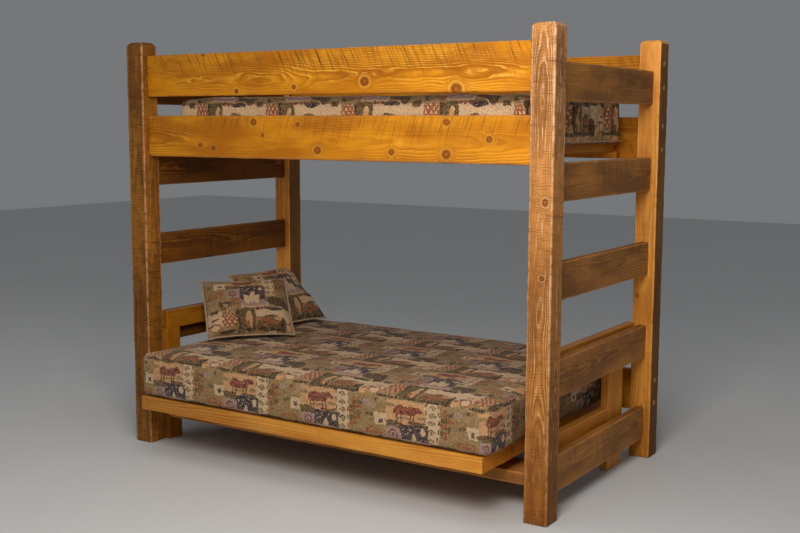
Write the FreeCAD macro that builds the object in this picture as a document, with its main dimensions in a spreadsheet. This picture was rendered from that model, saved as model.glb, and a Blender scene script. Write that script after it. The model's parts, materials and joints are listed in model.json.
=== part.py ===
"""Bunk bed with a ladder at each end and a folding futon below, in millimetres.

The bed stands on the floor at z = 0, its length along X, its front facing -Y. The origin is
the middle of the whole footprint, which includes the futon's overhang in front of the posts.
"""
import FreeCAD, Part
import math
import os
import re

import Sketcher
from FreeCAD import Placement, Rotation, Vector

os.makedirs("parts", exist_ok=True)
doc = FreeCAD.newDocument("bunk_bed")

# ---------------------------------------------------------------- driving dimensions
SIZES = {
    # bunk frame
    "bunk_length": 2236,
    "bunk_depth": 1204,
    "bunk_height": 1936,
    "futon_overhang": 176,
    "post_side": 102,
    "post_chamfer": 14,
    "rail_height": 192,
    "rail_thickness": 38,
    "guard_rail_centre": 1778,
    "side_rail_centre": 1497,
    "lower_rail_centre": 312,
    # ladder ends
    "rung_height": 152,
    "rung_thickness": 38,
    "rung_first": 169,
    "rung_pitch": 388.5,
    "mortise_depth": 24,
    # bolts through the posts into cross nuts in the rails
    "bolt_radius": 5,
    "bolt_clearance": 0.4,
    "bolt_length": 150,
    "bolt_spacing": 108,
    "bolt_head_radius": 10,
    "bolt_head_height": 8,
    "counterbore_radius": 12,
    "counterbore_depth": 20,
    "plug_height": 12,
    "nut_radius": 7.5,
    "nut_clearance": 0.3,
    "nut_length": 26,
    "nut_place": 58,
    "nut_hole_depth": 32,
    # upper mattress support
    "cleat_width": 38,
    "cleat_height": 34,
    "cleat_length": 1840,
    "slat_width": 89,
    "slat_thickness": 38,
    "slat_span": 1711,
    "slat_gap_in_rails": 2,
    "screw_radius": 2.5,
    "screw_head_radius": 4.5,
    "screw_head_height": 3,
    "slat_screw_length": 65,
    "cleat_screw_length": 60,
    # mattresses
    "mattress_thickness": 203,
    "mattress_rounding": 40,
    "soft_gap": 0.3,
    "upper_mattress_length": 1890,
    "upper_mattress_width": 990,
    "upper_mattress_shift": 25,
    "futon_mattress_length": 1895,
    "futon_mattress_shift": 18,
    "futon_mattress_rear": 604,
    # futon arms
    "arm_thickness": 38,
    "arm_inner_face": 991,
    "arm_front": -410,
    "arm_length": 996,
    "arm_top": 643,
    "arm_board": 89,
    "arm_low_rail_bottom": 206,
    "rear_leg_front": 299,
    "rear_leg_width": 164,
    "front_stretcher_front": -407,
    "front_stretcher_depth": 178,
    "front_stretcher_bottom": 113,
    "front_stretcher_thickness": 52,
    "rear_stretcher_front": 420,
    "rear_stretcher_bottom": 77,
    "rear_stretcher_height": 140,
    "front_bolt_start": 22,
    "front_bolt_spacing": 45,
    "rear_bolt_start": 35,
    "rear_bolt_spacing": 70,
    # futon decks
    "deck_length": 1828,
    "deck_bottom": 218,
    "deck_rail_height": 66,
    "deck_rail_thickness": 38,
    "deck_front": -668,
    "deck_rear": 585,
    "front_rail_thickness": 70,
    "rabbet_width": 25,
    "deck_slat_proud": 6,
    "deck_slat_thickness": 19,
    "deck_slat_pitch": 196,
    "fold_line": -43,
    "fold_gap": 4,
    "fold_angle": 68,
    "fold_margin": 2,
    "seat_travel": 130,
    # pegs that carry the seat in the arms' grooves
    "peg_radius": 12,
    "peg_clearance": 1,
    "peg_bite": 24,
    "groove_depth": 20,
    "front_peg": -290,
    "rear_peg": -110,
    # hinges of the fold
    "hinge_length": 84,
    "hinge_leaf_height": 50,
    "hinge_leaf_thickness": 3,
    "hinge_knuckle_radius": 3.9,
    "hinge_pin_radius": 2,
    "hinge_pin_clearance": 0.05,
    "hinge_leaf_gap": 1,
    "hinge_spacing": 620,
    # throw pillows
    "pillow_width": 450,
    "pillow_front_height": 345,
    "pillow_rear_height": 391,
    "pillow_thickness": 130,
    "pillow_rounding": 60,
}
UPPER_SLATS = 11
DECK_SLATS = 9
RUNGS = 5

sheet = doc.addObject("Spreadsheet::Sheet", "Sizes")
for row, (name, value) in enumerate(SIZES.items(), start=1):
    sheet.set(f"A{row}", name)
    sheet.set(f"B{row}", str(value))
    sheet.setAlias(f"B{row}", name)
doc.recompute()

# ---------------------------------------------------------------- derived places
POST_ROW = {
    "front": "(futon_overhang - bunk_depth + post_side) / 2",
    "rear": "(futon_overhang + bunk_depth - post_side) / 2",
}
INWARD = {"front": 1, "rear": -1}
SIDES = {"left": -1, "right": 1}
CLEAR_LENGTH = "(bunk_length - 2 * post_side)"
DECK_TOP = "(deck_bottom + deck_rail_height)"
CLEAT_BOTTOM = "(side_rail_centre - rail_height / 2)"
SLAT_TOP = f"({CLEAT_BOTTOM} + cleat_height + slat_thickness)"
FUTON_BED = f"({DECK_TOP} + deck_slat_proud + soft_gap)"
MATTRESS_FRONT = "(-(bunk_depth + futon_overhang) / 2)"

ALONG = {
    "x": Rotation(Vector(0, 1, 0), 90),
    "y": Rotation(Vector(1, 0, 0), -90),
    "z": Rotation(),
}


# ---------------------------------------------------------------- helpers
def formula(text):
    """The expression text with each dimension's name pointed at its cell."""
    return re.sub(r"[a-z_]+", lambda word: "Sizes." + word[0] if word[0] in SIZES else word[0], str(text))


def bind(thing, **formulas):
    for name, text in formulas.items():
        thing.setExpression(name, formula(text))


def place(thing, corner):
    for axis, text in zip("xyz", corner):
        thing.setExpression("Placement.Base." + axis, formula(text))


def new_body(label):
    body = doc.addObject("PartDesign::Body", label)
    body.Label = label
    return body


def new_sketch(body, plane, name):
    """A sketch on one of the body's own origin planes."""
    sketch = body.newObject("Sketcher::SketchObject", name)
    support = [feature for feature in body.Origin.OriginFeatures if feature.Role == plane]
    sketch.AttachmentSupport = [(support[0], "")]
    sketch.MapMode = "FlatFace"
    return sketch


def draw_outline(sketch, corners, sizes):
    """A closed outline from the sketch's origin: rough corners, then formulas for its spans.

    sizes holds (kind, first point, second point, formula), a point being its line's start.
    """
    count = len(corners)
    for k in range(count):
        start = Vector(*corners[k], 0)
        end = Vector(*corners[(k + 1) % count], 0)
        sketch.addGeometry(Part.LineSegment(start, end))
    for k in range(count):
        sketch.addConstraint(Sketcher.Constraint("Coincident", k, 2, (k + 1) % count, 1))
        start, end = corners[k], corners[(k + 1) % count]
        if start[1] == end[1]:
            sketch.addConstraint(Sketcher.Constraint("Horizontal", k))
        elif start[0] == end[0]:
            sketch.addConstraint(Sketcher.Constraint("Vertical", k))
    sketch.addConstraint(Sketcher.Constraint("Coincident", 0, 1, -1, 1))
    for kind, first, second, text in sizes:
        axis = 0 if kind == "DistanceX" else 1
        value = corners[second][axis] - corners[first][axis]
        index = sketch.addConstraint(Sketcher.Constraint(kind, first, 1, second, 1, value))
        sketch.setExpression(f"Constraints[{index}]", formula(text))


def pad(body, sketch, length):
    feature = body.newObject("PartDesign::Pad", body.Label + "_pad")
    feature.Profile = sketch
    bind(feature, Length=length)
    sketch.Visibility = False
    return feature


def rectangular_body(label, size):
    """A rectangle in plan from the body's own origin, padded to its height."""
    body = new_body(label)
    sketch = new_sketch(body, "XY_Plane", label + "_plan")
    rectangle = [(0, 0), (100, 0), (100, 100), (0, 100)]
    spans = [("DistanceX", 0, 1, size[0]), ("DistanceY", 0, 3, size[1])]
    draw_outline(sketch, rectangle, spans)
    pad(body, sketch, size[2])
    return body


def board(label, corner, size):
    """A sawn board from its low corner."""
    body = rectangular_body(label, size)
    place(body, corner)
    return body


def block(name, corner, size):
    """A plain box, used as a cutting tool."""
    box = doc.addObject("Part::Box", name)
    bind(box, Length=size[0], Width=size[1], Height=size[2])
    place(box, corner)
    return box


def rod(name, start, axis, radius, length):
    """A cylinder from the middle of its first end, along +axis."""
    cylinder = doc.addObject("Part::Cylinder", name)
    cylinder.Placement = Placement(Vector(), ALONG[axis])
    bind(cylinder, Radius=radius, Height=length)
    place(cylinder, start)
    return cylinder


def fuse(name, pieces):
    joined = doc.addObject("Part::MultiFuse", name)
    joined.Shapes = pieces
    return joined


def cut(name, base, tools):
    """The base less one tool or a list of them."""
    tools = tools if isinstance(tools, list) else [tools]
    result = doc.addObject("Part::Cut", name)
    result.Base = base
    result.Tool = tools[0] if len(tools) == 1 else fuse(name + "_tools", tools)
    return result


def group(name, pieces):
    """Separate equal solids in one node."""
    compound = doc.addObject("Part::Compound", name)
    compound.Links = pieces
    return compound


nodes = {}


def keep(label, thing):
    """Names a finished sub-part, which is then written to its own file."""
    thing.Label = label
    nodes[label] = thing


def drill(label, tools):
    """Replaces a finished sub-part with the same one, drilled."""
    blank = nodes[label]
    blank.Label = label + "_undrilled"
    keep(label, cut(label + "_drilled", blank, tools))


# ---------------------------------------------------------------- bunk frame
RAILS = {
    "guard_rail_front": ("front", "guard_rail_centre"),
    "side_rail_front": ("front", "side_rail_centre"),
    "guard_rail_rear": ("rear", "guard_rail_centre"),
    "side_rail_rear": ("rear", "side_rail_centre"),
    "lower_rail_rear": ("rear", "lower_rail_centre"),
}


def rail_inner_face(row):
    return f"{POST_ROW[row]} + {INWARD[row]} * rail_thickness / 2"


def bolt_heights(centre):
    return [f"{centre} + {sign} * bolt_spacing / 2" for sign in (-1, 1)]


def across(side, outer, length):
    """Where a rod along +X starts, when its outer end is at that distance on that side."""
    return f"{outer} - ({length})" if side > 0 else f"-({outer})"


def bolt_rods(name, side, row, centre, outer, radius, length):
    """One rod along X for each of the two bolts at a rail's end."""
    start = across(side, outer, length)
    return [
        rod(f"{name}_{k}", (start, POST_ROW[row], height), "x", radius, length)
        for k, height in enumerate(bolt_heights(centre))
    ]


def make_post(row, end):
    """A square post with a chamfered top, mortises for the rungs and holes for the bolts."""
    label = f"post_{row}_{end}"
    side = SIDES[end]
    corner = (
        f"{side} * (bunk_length - post_side) / 2 - post_side / 2",
        f"{POST_ROW[row]} - post_side / 2",
        "0",
    )
    blank = board(label + "_blank", corner, ("post_side", "post_side", "bunk_height"))
    doc.recompute()
    top = max(range(len(blank.Shape.Faces)), key=lambda k: blank.Shape.Faces[k].CenterOfMass.z)
    chamfer = blank.newObject("PartDesign::Chamfer", label + "_chamfer")
    chamfer.Base = (blank.Group[-2], [f"Face{top + 1}"])
    bind(chamfer, Size="post_chamfer")

    tools = []
    mortise_start = "post_side / 2 - mortise_depth" if row == "front" else "-post_side / 2"
    for k in range(RUNGS):
        mortise = block(
            f"{label}_mortise_{k + 1}",
            (
                f"{side} * (bunk_length - post_side) / 2 - rung_thickness / 2",
                f"{POST_ROW[row]} + {mortise_start}",
                f"rung_first + {k} * rung_pitch - rung_height / 2",
            ),
            ("rung_thickness", "mortise_depth", "rung_height"),
        )
        tools.append(mortise)
    for rail, (rail_row, centre) in RAILS.items():
        if rail_row != row:
            continue
        name = f"{label}_{rail}"
        radius = "bolt_radius + bolt_clearance"
        tools += bolt_rods(name + "_hole", side, row, centre, "bunk_length / 2", radius, "post_side")
        tools += bolt_rods(
            name + "_bore", side, row, centre, "bunk_length / 2", "counterbore_radius", "counterbore_depth"
        )
    keep(label, cut(label, blank, tools))


def make_rung(end, k):
    """A ladder rung whose ends sit in the posts' mortises."""
    board_label = f"ladder_rung_{end}_{k + 1}"
    corner = (
        f"{SIDES[end]} * (bunk_length - post_side) / 2 - rung_thickness / 2",
        f"{POST_ROW['front']} + post_side / 2 - mortise_depth",
        f"rung_first + {k} * rung_pitch - rung_height / 2",
    )
    length = "bunk_depth - 2 * post_side + 2 * mortise_depth"
    keep(board_label, board(board_label, corner, ("rung_thickness", length, "rung_height")))


def nut_rods(name, side, row, centre, start, radius, length):
    """One rod along Y near a rail's end for each of the two bolts there."""
    x = f"{side} * ({CLEAR_LENGTH} / 2 - nut_place)"
    return [
        rod(f"{name}_{k}", (x, start, height), "y", radius, length)
        for k, height in enumerate(bolt_heights(centre))
    ]


def make_rail(label, row, centre):
    """A long board between two posts, with pilot holes in its ends and nut holes from its inner face."""
    corner = (
        f"-{CLEAR_LENGTH} / 2",
        f"{POST_ROW[row]} - rail_thickness / 2",
        f"{centre} - rail_height / 2",
    )
    blank = board(label + "_blank", corner, (CLEAR_LENGTH, "rail_thickness", "rail_height"))
    pilot_depth = "bolt_length + counterbore_depth - post_side"
    tools = []
    hole_start = rail_inner_face(row) + (" - nut_hole_depth" if row == "front" else "")
    for end, side in SIDES.items():
        tools += bolt_rods(
            f"{label}_pilot_{end}", side, row, centre,
            f"{CLEAR_LENGTH} / 2", "bolt_radius + bolt_clearance", pilot_depth,
        )
        tools += nut_rods(
            f"{label}_nut_hole_{end}", side, row, centre,
            hole_start, "nut_radius + nut_clearance", "nut_hole_depth",
        )
    keep(label, cut(label, blank, tools))


def make_barrel_nuts():
    """Cross nuts inside the rails' ends, each with a bore for its bolt."""
    nuts = []
    for rail, (row, centre) in RAILS.items():
        for end, side in SIDES.items():
            name = f"{rail}_{end}_nut"
            start = f"{POST_ROW[row]} - nut_length / 2"
            blanks = nut_rods(name, side, row, centre, start, "nut_radius", "nut_length")
            depth = f"{CLEAR_LENGTH} / 2 - nut_place + nut_radius"
            bores = bolt_rods(
                name + "_bore", side, row, centre,
                depth, "bolt_radius + bolt_clearance", "2 * nut_radius",
            )
            nuts += [cut(f"{name}_bored_{k}", *pair) for k, pair in enumerate(zip(blanks, bores))]
    keep("barrel_nuts", group("barrel_nuts", nuts))


def make_rail_bolts():
    """Bolts with round washer heads, two at each end of each rail, and their plugs."""
    bolts = []
    plugs = []
    seat = "bunk_length / 2 - counterbore_depth"
    for rail, (row, centre) in RAILS.items():
        for end, side in SIDES.items():
            name = f"{rail}_{end}"
            shanks = bolt_rods(name + "_shank", side, row, centre, seat, "bolt_radius", "bolt_length")
            heads = bolt_rods(
                name + "_head", side, row, centre,
                f"{seat} + bolt_head_height", "bolt_head_radius", "bolt_head_height",
            )
            for k, (shank, head) in enumerate(zip(shanks, heads)):
                bolts.append(fuse(f"{name}_bolt_{k}", [shank, head]))
            plugs += bolt_rods(
                name + "_plug", side, row, centre,
                "bunk_length / 2", "counterbore_radius - soft_gap", "plug_height",
            )
    keep("rail_bolts", group("rail_bolts", bolts))
    keep("bolt_plugs", group("bolt_plugs", plugs))


for row in POST_ROW:
    for end in SIDES:
        make_post(row, end)
for end in SIDES:
    for k in range(RUNGS):
        make_rung(end, k)
for rail, (row, centre) in RAILS.items():
    make_rail(rail, row, centre)
make_rail_bolts()
make_barrel_nuts()


# ---------------------------------------------------------------- upper mattress support
def slat_x(k):
    """The middle of a slat; halves fall in the gaps."""
    return f"-slat_span / 2 + {k} * slat_span / {UPPER_SLATS - 1}"


def cleat_middle(row):
    return f"{rail_inner_face(row)} + {INWARD[row]} * cleat_width / 2"


def slat_screw(name, x, y):
    """A screw driven down through a slat into a cleat, its head set flush."""
    low = f"{SLAT_TOP} - slat_screw_length"
    shank = rod(name + "_shank", (x, y, low), "z", "screw_radius", "slat_screw_length")
    head = rod(
        name + "_head", (x, y, f"{SLAT_TOP} - screw_head_height"), "z",
        "screw_head_radius", "screw_head_height",
    )
    return fuse(name, [shank, head])


def slat_screw_places():
    for k in range(UPPER_SLATS):
        for row in POST_ROW:
            for sign in (-1, 1):
                yield f"{k}_{row}_{sign + 1}", f"{slat_x(k)} + {sign} * slat_width / 4", cleat_middle(row)


def make_slats():
    """Slats across the bed, drilled for their screws."""
    slats = []
    start = f"{rail_inner_face('front')} + slat_gap_in_rails"
    length = "bunk_depth - post_side - rail_thickness - 2 * slat_gap_in_rails"
    for k in range(UPPER_SLATS):
        corner = (f"{slat_x(k)} - slat_width / 2", start, f"{SLAT_TOP} - slat_thickness")
        slats.append(board(f"upper_slat_{k + 1}", corner, ("slat_width", length, "slat_thickness")))
    holes = []
    for name, x, y in slat_screw_places():
        low = f"{SLAT_TOP} - slat_thickness"
        holes.append(rod(f"slat_hole_{name}", (x, y, low), "z", "screw_radius", "slat_thickness"))
        high = f"{SLAT_TOP} - screw_head_height"
        holes.append(rod(f"slat_sink_{name}", (x, y, high), "z", "screw_head_radius", "screw_head_height"))
    keep("upper_slats", cut("upper_slats", group("upper_slat_blanks", slats), holes))
    screws = [slat_screw(f"slat_screw_{name}", x, y) for name, x, y in slat_screw_places()]
    keep("slat_screws", group("slat_screws", screws))


def make_cleat(row):
    """A strip along a side rail's inner face, which the slats lie on."""
    label = f"slat_cleat_{row}"
    face = rail_inner_face(row)
    low = face if row == "front" else f"{face} - cleat_width"
    blank = board(
        label + "_blank", ("-cleat_length / 2", low, CLEAT_BOTTOM),
        ("cleat_length", "cleat_width", "cleat_height"),
    )
    depth = "slat_screw_length - slat_thickness"
    holes = []
    for name, x, y in slat_screw_places():
        if f"_{row}_" in name:
            start = (x, y, f"{SLAT_TOP} - slat_screw_length")
            holes.append(rod(f"{label}_hole_{name}", start, "z", "screw_radius", depth))
    keep(label, cut(label, blank, holes))


def cleat_screw_rods(name, row, radius, length):
    """Rods along Y from a cleat's inner face towards its rail, one in each gap between the slats."""
    surface = f"{rail_inner_face(row)} + {INWARD[row]} * cleat_width"
    start = f"{surface} - {length}" if row == "front" else surface
    height = f"{CLEAT_BOTTOM} + cleat_height / 2"
    return [
        rod(f"{name}_{k}", (slat_x(k + 0.5), start, height), "y", radius, length)
        for k in range(UPPER_SLATS - 1)
    ]


def make_cleat_screws():
    """Screws that hold the cleats to the side rails, their heads set flush."""
    screws = []
    for row in POST_ROW:
        name = f"cleat_screw_{row}"
        shanks = cleat_screw_rods(name + "_shank", row, "screw_radius", "cleat_screw_length")
        heads = cleat_screw_rods(name + "_head", row, "screw_head_radius", "screw_head_height")
        screws += [fuse(f"{name}_{k}", list(pair)) for k, pair in enumerate(zip(shanks, heads))]
        holes = cleat_screw_rods(name + "_hole", row, "screw_radius", "cleat_screw_length")
        sinks = cleat_screw_rods(name + "_sink", row, "screw_head_radius", "screw_head_height")
        drill(f"slat_cleat_{row}", holes + sinks)
        pilots = cleat_screw_rods(name + "_pilot", row, "screw_radius", "cleat_screw_length")
        drill(f"side_rail_{row}", pilots)
    keep("cleat_screws", group("cleat_screws", screws))


make_slats()
for row in POST_ROW:
    make_cleat(row)
make_cleat_screws()


# ---------------------------------------------------------------- futon arms
def arm_x(end):
    """The low x of an arm's boards."""
    return "arm_inner_face" if end == "right" else "-arm_inner_face - arm_thickness"


def make_arm(end):
    """Four boards in one plane: top rail, lower rail with a groove, front leg and rear leg."""
    x = arm_x(end)
    leg_height = "arm_top - arm_board"
    top = board(
        f"arm_top_rail_{end}", (x, "arm_front", leg_height),
        ("arm_thickness", "arm_length", "arm_board"),
    )
    keep(f"arm_top_rail_{end}", top)
    front_leg = board(
        f"arm_front_leg_{end}", (x, "arm_front", "0"), ("arm_thickness", "arm_board", leg_height)
    )
    keep(f"arm_front_leg_{end}", front_leg)
    rear_leg = board(
        f"arm_rear_leg_{end}", (x, "rear_leg_front", "0"),
        ("arm_thickness", "rear_leg_width", leg_height),
    )
    keep(f"arm_rear_leg_{end}", rear_leg)
    make_arm_low_rail(end, x)


def make_arm_low_rail(end, x):
    """The rail between the legs, with the round-ended groove that the seat's pegs run in."""
    label = f"arm_lower_rail_{end}"
    start = "arm_front + arm_board"
    blank = board(
        label + "_blank", (x, start, "arm_low_rail_bottom"),
        ("arm_thickness", f"rear_leg_front - ({start})", "arm_board"),
    )
    low_x = "arm_inner_face" if end == "right" else "-arm_inner_face - groove_depth"
    height = "deck_bottom + deck_rail_height / 2"
    radius = "peg_radius + peg_clearance"
    groove_start = "front_peg"
    groove_end = "rear_peg + seat_travel"
    slot = block(
        label + "_slot", (low_x, groove_start, f"{height} - ({radius})"),
        ("groove_depth", f"{groove_end} - {groove_start}", f"2 * ({radius})"),
    )
    ends = [
        rod(f"{label}_slot_end_{k}", (low_x, y, height), "x", radius, "groove_depth")
        for k, y in enumerate((groove_start, groove_end))
    ]
    keep(label, cut(label, blank, [slot] + ends))


def make_stretchers():
    """The flat front stretcher and the upright rear one, between the arms."""
    front = board(
        "futon_stretcher_front",
        ("-arm_inner_face", "front_stretcher_front", "front_stretcher_bottom"),
        ("2 * arm_inner_face", "front_stretcher_depth", "front_stretcher_thickness"),
    )
    keep("futon_stretcher_front", front)
    rear = board(
        "futon_stretcher_rear",
        ("-arm_inner_face", "rear_stretcher_front", "rear_stretcher_bottom"),
        ("2 * arm_inner_face", "arm_thickness", "rear_stretcher_height"),
    )
    keep("futon_stretcher_rear", rear)


for end in SIDES:
    make_arm(end)
make_stretchers()


# ---------------------------------------------------------------- futon decks
DECKS = {
    "seat": {
        "front": "deck_front",
        "front_thickness": "front_rail_thickness",
        "rear": "(fold_line - fold_gap)",
        "names": ("seat_front_rail", "seat_rear_rail"),
    },
    "back": {
        "front": "(fold_line + fold_gap)",
        "front_thickness": "deck_rail_thickness",
        "rear": "deck_rear",
        "names": ("back_fold_rail", "back_top_rail"),
    },
}
RABBET_DEPTH = "(deck_slat_thickness - deck_slat_proud)"


def profile_bar(label, corner, corners, spans, length):
    """A bar along X from its low corner, with an outline drawn in the YZ plane."""
    body = new_body(label)
    place(body, corner)
    sketch = new_sketch(body, "YZ_Plane", label + "_section")
    draw_outline(sketch, corners, spans)
    pad(body, sketch, length)
    return body


def rabbeted_rail(label, y, thickness, rabbet_behind):
    """A deck rail whose inner top edge is cut away to seat the slats' ends."""
    if rabbet_behind:
        corners = [(0, 0), (60, 0), (60, 50), (40, 50), (40, 66), (0, 66)]
        spans = [
            ("DistanceX", 0, 1, thickness),
            ("DistanceY", 0, 5, "deck_rail_height"),
            ("DistanceX", 3, 2, "rabbet_width"),
            ("DistanceY", 3, 4, RABBET_DEPTH),
        ]
    else:
        corners = [(0, 0), (60, 0), (60, 66), (25, 66), (25, 50), (0, 50)]
        spans = [
            ("DistanceX", 0, 1, thickness),
            ("DistanceY", 1, 2, "deck_rail_height"),
            ("DistanceX", 5, 4, "rabbet_width"),
            ("DistanceY", 4, 3, RABBET_DEPTH),
        ]
    keep(label, profile_bar(label, ("-deck_length / 2", y, "deck_bottom"), corners, spans, "deck_length"))


def make_deck(deck, layout):
    """A deck of two rabbeted long rails, two side rails and slats from rail to rail."""
    front, rear = layout["front"], layout["rear"]
    side_start = f"{front} + {layout['front_thickness']}"
    side_end = f"({rear} - deck_rail_thickness)"
    front_rail, rear_rail = layout["names"]
    rabbeted_rail(front_rail, front, layout["front_thickness"], True)
    rabbeted_rail(rear_rail, side_end, "deck_rail_thickness", False)
    for end in SIDES:
        make_deck_side(deck, end, side_start, side_end)
    slats = []
    for k in range(DECK_SLATS):
        corner = (
            f"({k} - {DECK_SLATS // 2}) * deck_slat_pitch - slat_width / 2",
            f"{side_start} - rabbet_width",
            f"{DECK_TOP} - {RABBET_DEPTH}",
        )
        length = f"{side_end} - ({side_start}) + 2 * rabbet_width"
        slats.append(board(f"{deck}_slat_{k + 1}", corner, ("slat_width", length, "deck_slat_thickness")))
    keep(f"{deck}_slats", group(f"{deck}_slats", slats))


PEG_HEIGHT = "(deck_bottom + deck_rail_height / 2)"


def make_deck_side(deck, end, start, stop):
    """A deck's side rail; the seat's has blind holes for its two pegs."""
    label = f"{deck}_side_rail_{end}"
    low_x = "deck_length / 2 - deck_rail_thickness" if end == "right" else "-deck_length / 2"
    size = ("deck_rail_thickness", f"{stop} - ({start})", "deck_rail_height")
    if deck == "back":
        keep(label, board(label, (low_x, start, "deck_bottom"), size))
        return
    blank = board(label + "_blank", (low_x, start, "deck_bottom"), size)
    holes = [
        rod(
            f"{label}_hole_{k}", (across(SIDES[end], "deck_length / 2", "peg_bite"), y, PEG_HEIGHT),
            "x", "peg_radius + soft_gap", "peg_bite",
        )
        for k, y in enumerate(("front_peg", "rear_peg"))
    ]
    keep(label, cut(label, blank, holes))


def make_pegs():
    """Four hardwood pegs that carry the seat along the grooves in the arms."""
    tip = "arm_inner_face + groove_depth - peg_clearance"
    length = f"{tip} - deck_length / 2 + peg_bite"
    pegs = [
        rod(f"peg_{end}_{y}", (across(side, tip, length), y, PEG_HEIGHT), "x", "peg_radius", length)
        for end, side in SIDES.items()
        for y in ("front_peg", "rear_peg")
    ]
    keep("seat_guide_pegs", group("seat_guide_pegs", pegs))


for deck, layout in DECKS.items():
    make_deck(deck, layout)
make_pegs()


# ---------------------------------------------------------------- fold hinges
KNUCKLES = {"seat": (0, 2), "back": (1,)}
HINGE_COUNT = 3
LEAF_DROP = "(hinge_knuckle_radius + hinge_leaf_gap)"


def hinge_start(k):
    """The low x of a hinge, spaced about the bed's middle."""
    return f"({k} - {HINGE_COUNT // 2}) * hinge_spacing - hinge_length / 2"


def make_leaf(part, k):
    """A leaf let in between the rails, with knuckles about the fold's axis and a bore for the pin."""
    name = f"hinge_{part}_{k}"
    x = hinge_start(k)
    y = "fold_line - fold_gap" if part == "seat" else "fold_line + fold_gap - hinge_leaf_thickness"
    plate = block(
        name + "_plate", (x, y, f"{DECK_TOP} - hinge_leaf_height"),
        ("hinge_length", "hinge_leaf_thickness", f"hinge_leaf_height - {LEAF_DROP}"),
    )
    pieces = [plate]
    length = "hinge_length / 3 - soft_gap"
    for turn in KNUCKLES[part]:
        start = f"{x} + {turn} * hinge_length / 3 + soft_gap / 2"
        tab = block(f"{name}_tab_{turn}", (start, y, f"{DECK_TOP} - {LEAF_DROP}"),
                    (length, "hinge_leaf_thickness", LEAF_DROP))
        barrel = rod(f"{name}_barrel_{turn}", (start, "fold_line", DECK_TOP), "x",
                     "hinge_knuckle_radius", length)
        pieces += [tab, barrel]
    bore = rod(name + "_bore", (x, "fold_line", DECK_TOP), "x",
               "hinge_pin_radius + hinge_pin_clearance", "hinge_length")
    return cut(name, fuse(name + "_solid", pieces), [bore])


def make_hinges():
    for part in KNUCKLES:
        label = f"hinge_leaves_{part}"
        keep(label, group(label, [make_leaf(part, k) for k in range(HINGE_COUNT)]))
    pins = []
    for k in range(HINGE_COUNT):
        start = (hinge_start(k), "fold_line", DECK_TOP)
        pins.append(rod(f"hinge_pin_{k}", start, "x", "hinge_pin_radius", "hinge_length"))
    keep("hinge_pins", group("hinge_pins", pins))


make_hinges()


# ---------------------------------------------------------------- stretcher bolts
FRONT_BOLT_Y = "front_stretcher_front + front_bolt_start"
FRONT_BOLT_Z = "front_stretcher_bottom + front_stretcher_thickness / 2"
REAR_BOLT_Y = "rear_stretcher_front + arm_thickness / 2"
REAR_BOLT_Z = "rear_stretcher_bottom + rear_bolt_start"
STRETCHER_BOLTS = (
    ("front", FRONT_BOLT_Y, FRONT_BOLT_Z),
    ("front", FRONT_BOLT_Y + " + front_bolt_spacing", FRONT_BOLT_Z),
    ("rear", REAR_BOLT_Y, REAR_BOLT_Z),
    ("rear", REAR_BOLT_Y, REAR_BOLT_Z + " + rear_bolt_spacing"),
)
ARM_OUTER = "(arm_inner_face + arm_thickness)"


def stretcher_rods(name, side, which, radius, outer, length):
    """Rods along X at one end of the front or rear stretcher."""
    return [
        rod(f"{name}_{k}", (across(side, outer, length), y, z), "x", radius, length)
        for k, (row, y, z) in enumerate(STRETCHER_BOLTS)
        if row == which
    ]


def make_stretcher_bolts():
    """Bolts through the legs into the stretchers' ends, with round heads outside."""
    bolts = []
    hole = "bolt_radius + bolt_clearance"
    for which in ("front", "rear"):
        end_holes = []
        for end, side in SIDES.items():
            name = f"stretcher_{which}_{end}"
            through = stretcher_rods(name + "_leg", side, which, hole, ARM_OUTER, "arm_thickness")
            drill(f"arm_{which}_leg_{end}", through)
            depth = "bolt_length / 2"
            end_holes += stretcher_rods(name + "_end", side, which, hole, "arm_inner_face", depth)
            shank = f"arm_thickness + {depth}"
            shanks = stretcher_rods(name + "_shank", side, which, "bolt_radius", ARM_OUTER, shank)
            outer = f"{ARM_OUTER} + bolt_head_height"
            heads = stretcher_rods(name + "_head", side, which, "bolt_head_radius", outer, "bolt_head_height")
            bolts += [fuse(f"{name}_bolt_{k}", list(pair)) for k, pair in enumerate(zip(shanks, heads))]
        drill(f"futon_stretcher_{which}", end_holes)
    keep("stretcher_bolts", group("stretcher_bolts", bolts))


make_stretcher_bolts()


# ---------------------------------------------------------------- mattresses
HALF_FOLD = "tan((fold_angle + fold_margin) / 2 * 1deg)"
LOW_GAP = f"(({FUTON_BED} - {DECK_TOP}) * {HALF_FOLD})"
WEDGE = f"(mattress_thickness * {HALF_FOLD})"


def round_face(body, choose, radius):
    """Rounds every edge of the body's face that choose picks by its middle."""
    doc.recompute()
    faces = body.Shape.Faces
    number = choose(range(len(faces)), key=lambda k: faces[k].CenterOfMass.y) + 1
    fillet = body.newObject("PartDesign::Fillet", body.Label + "_rounding")
    fillet.Base = (body.Group[-2], [f"Face{number}"])
    bind(fillet, Radius=radius)


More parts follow.
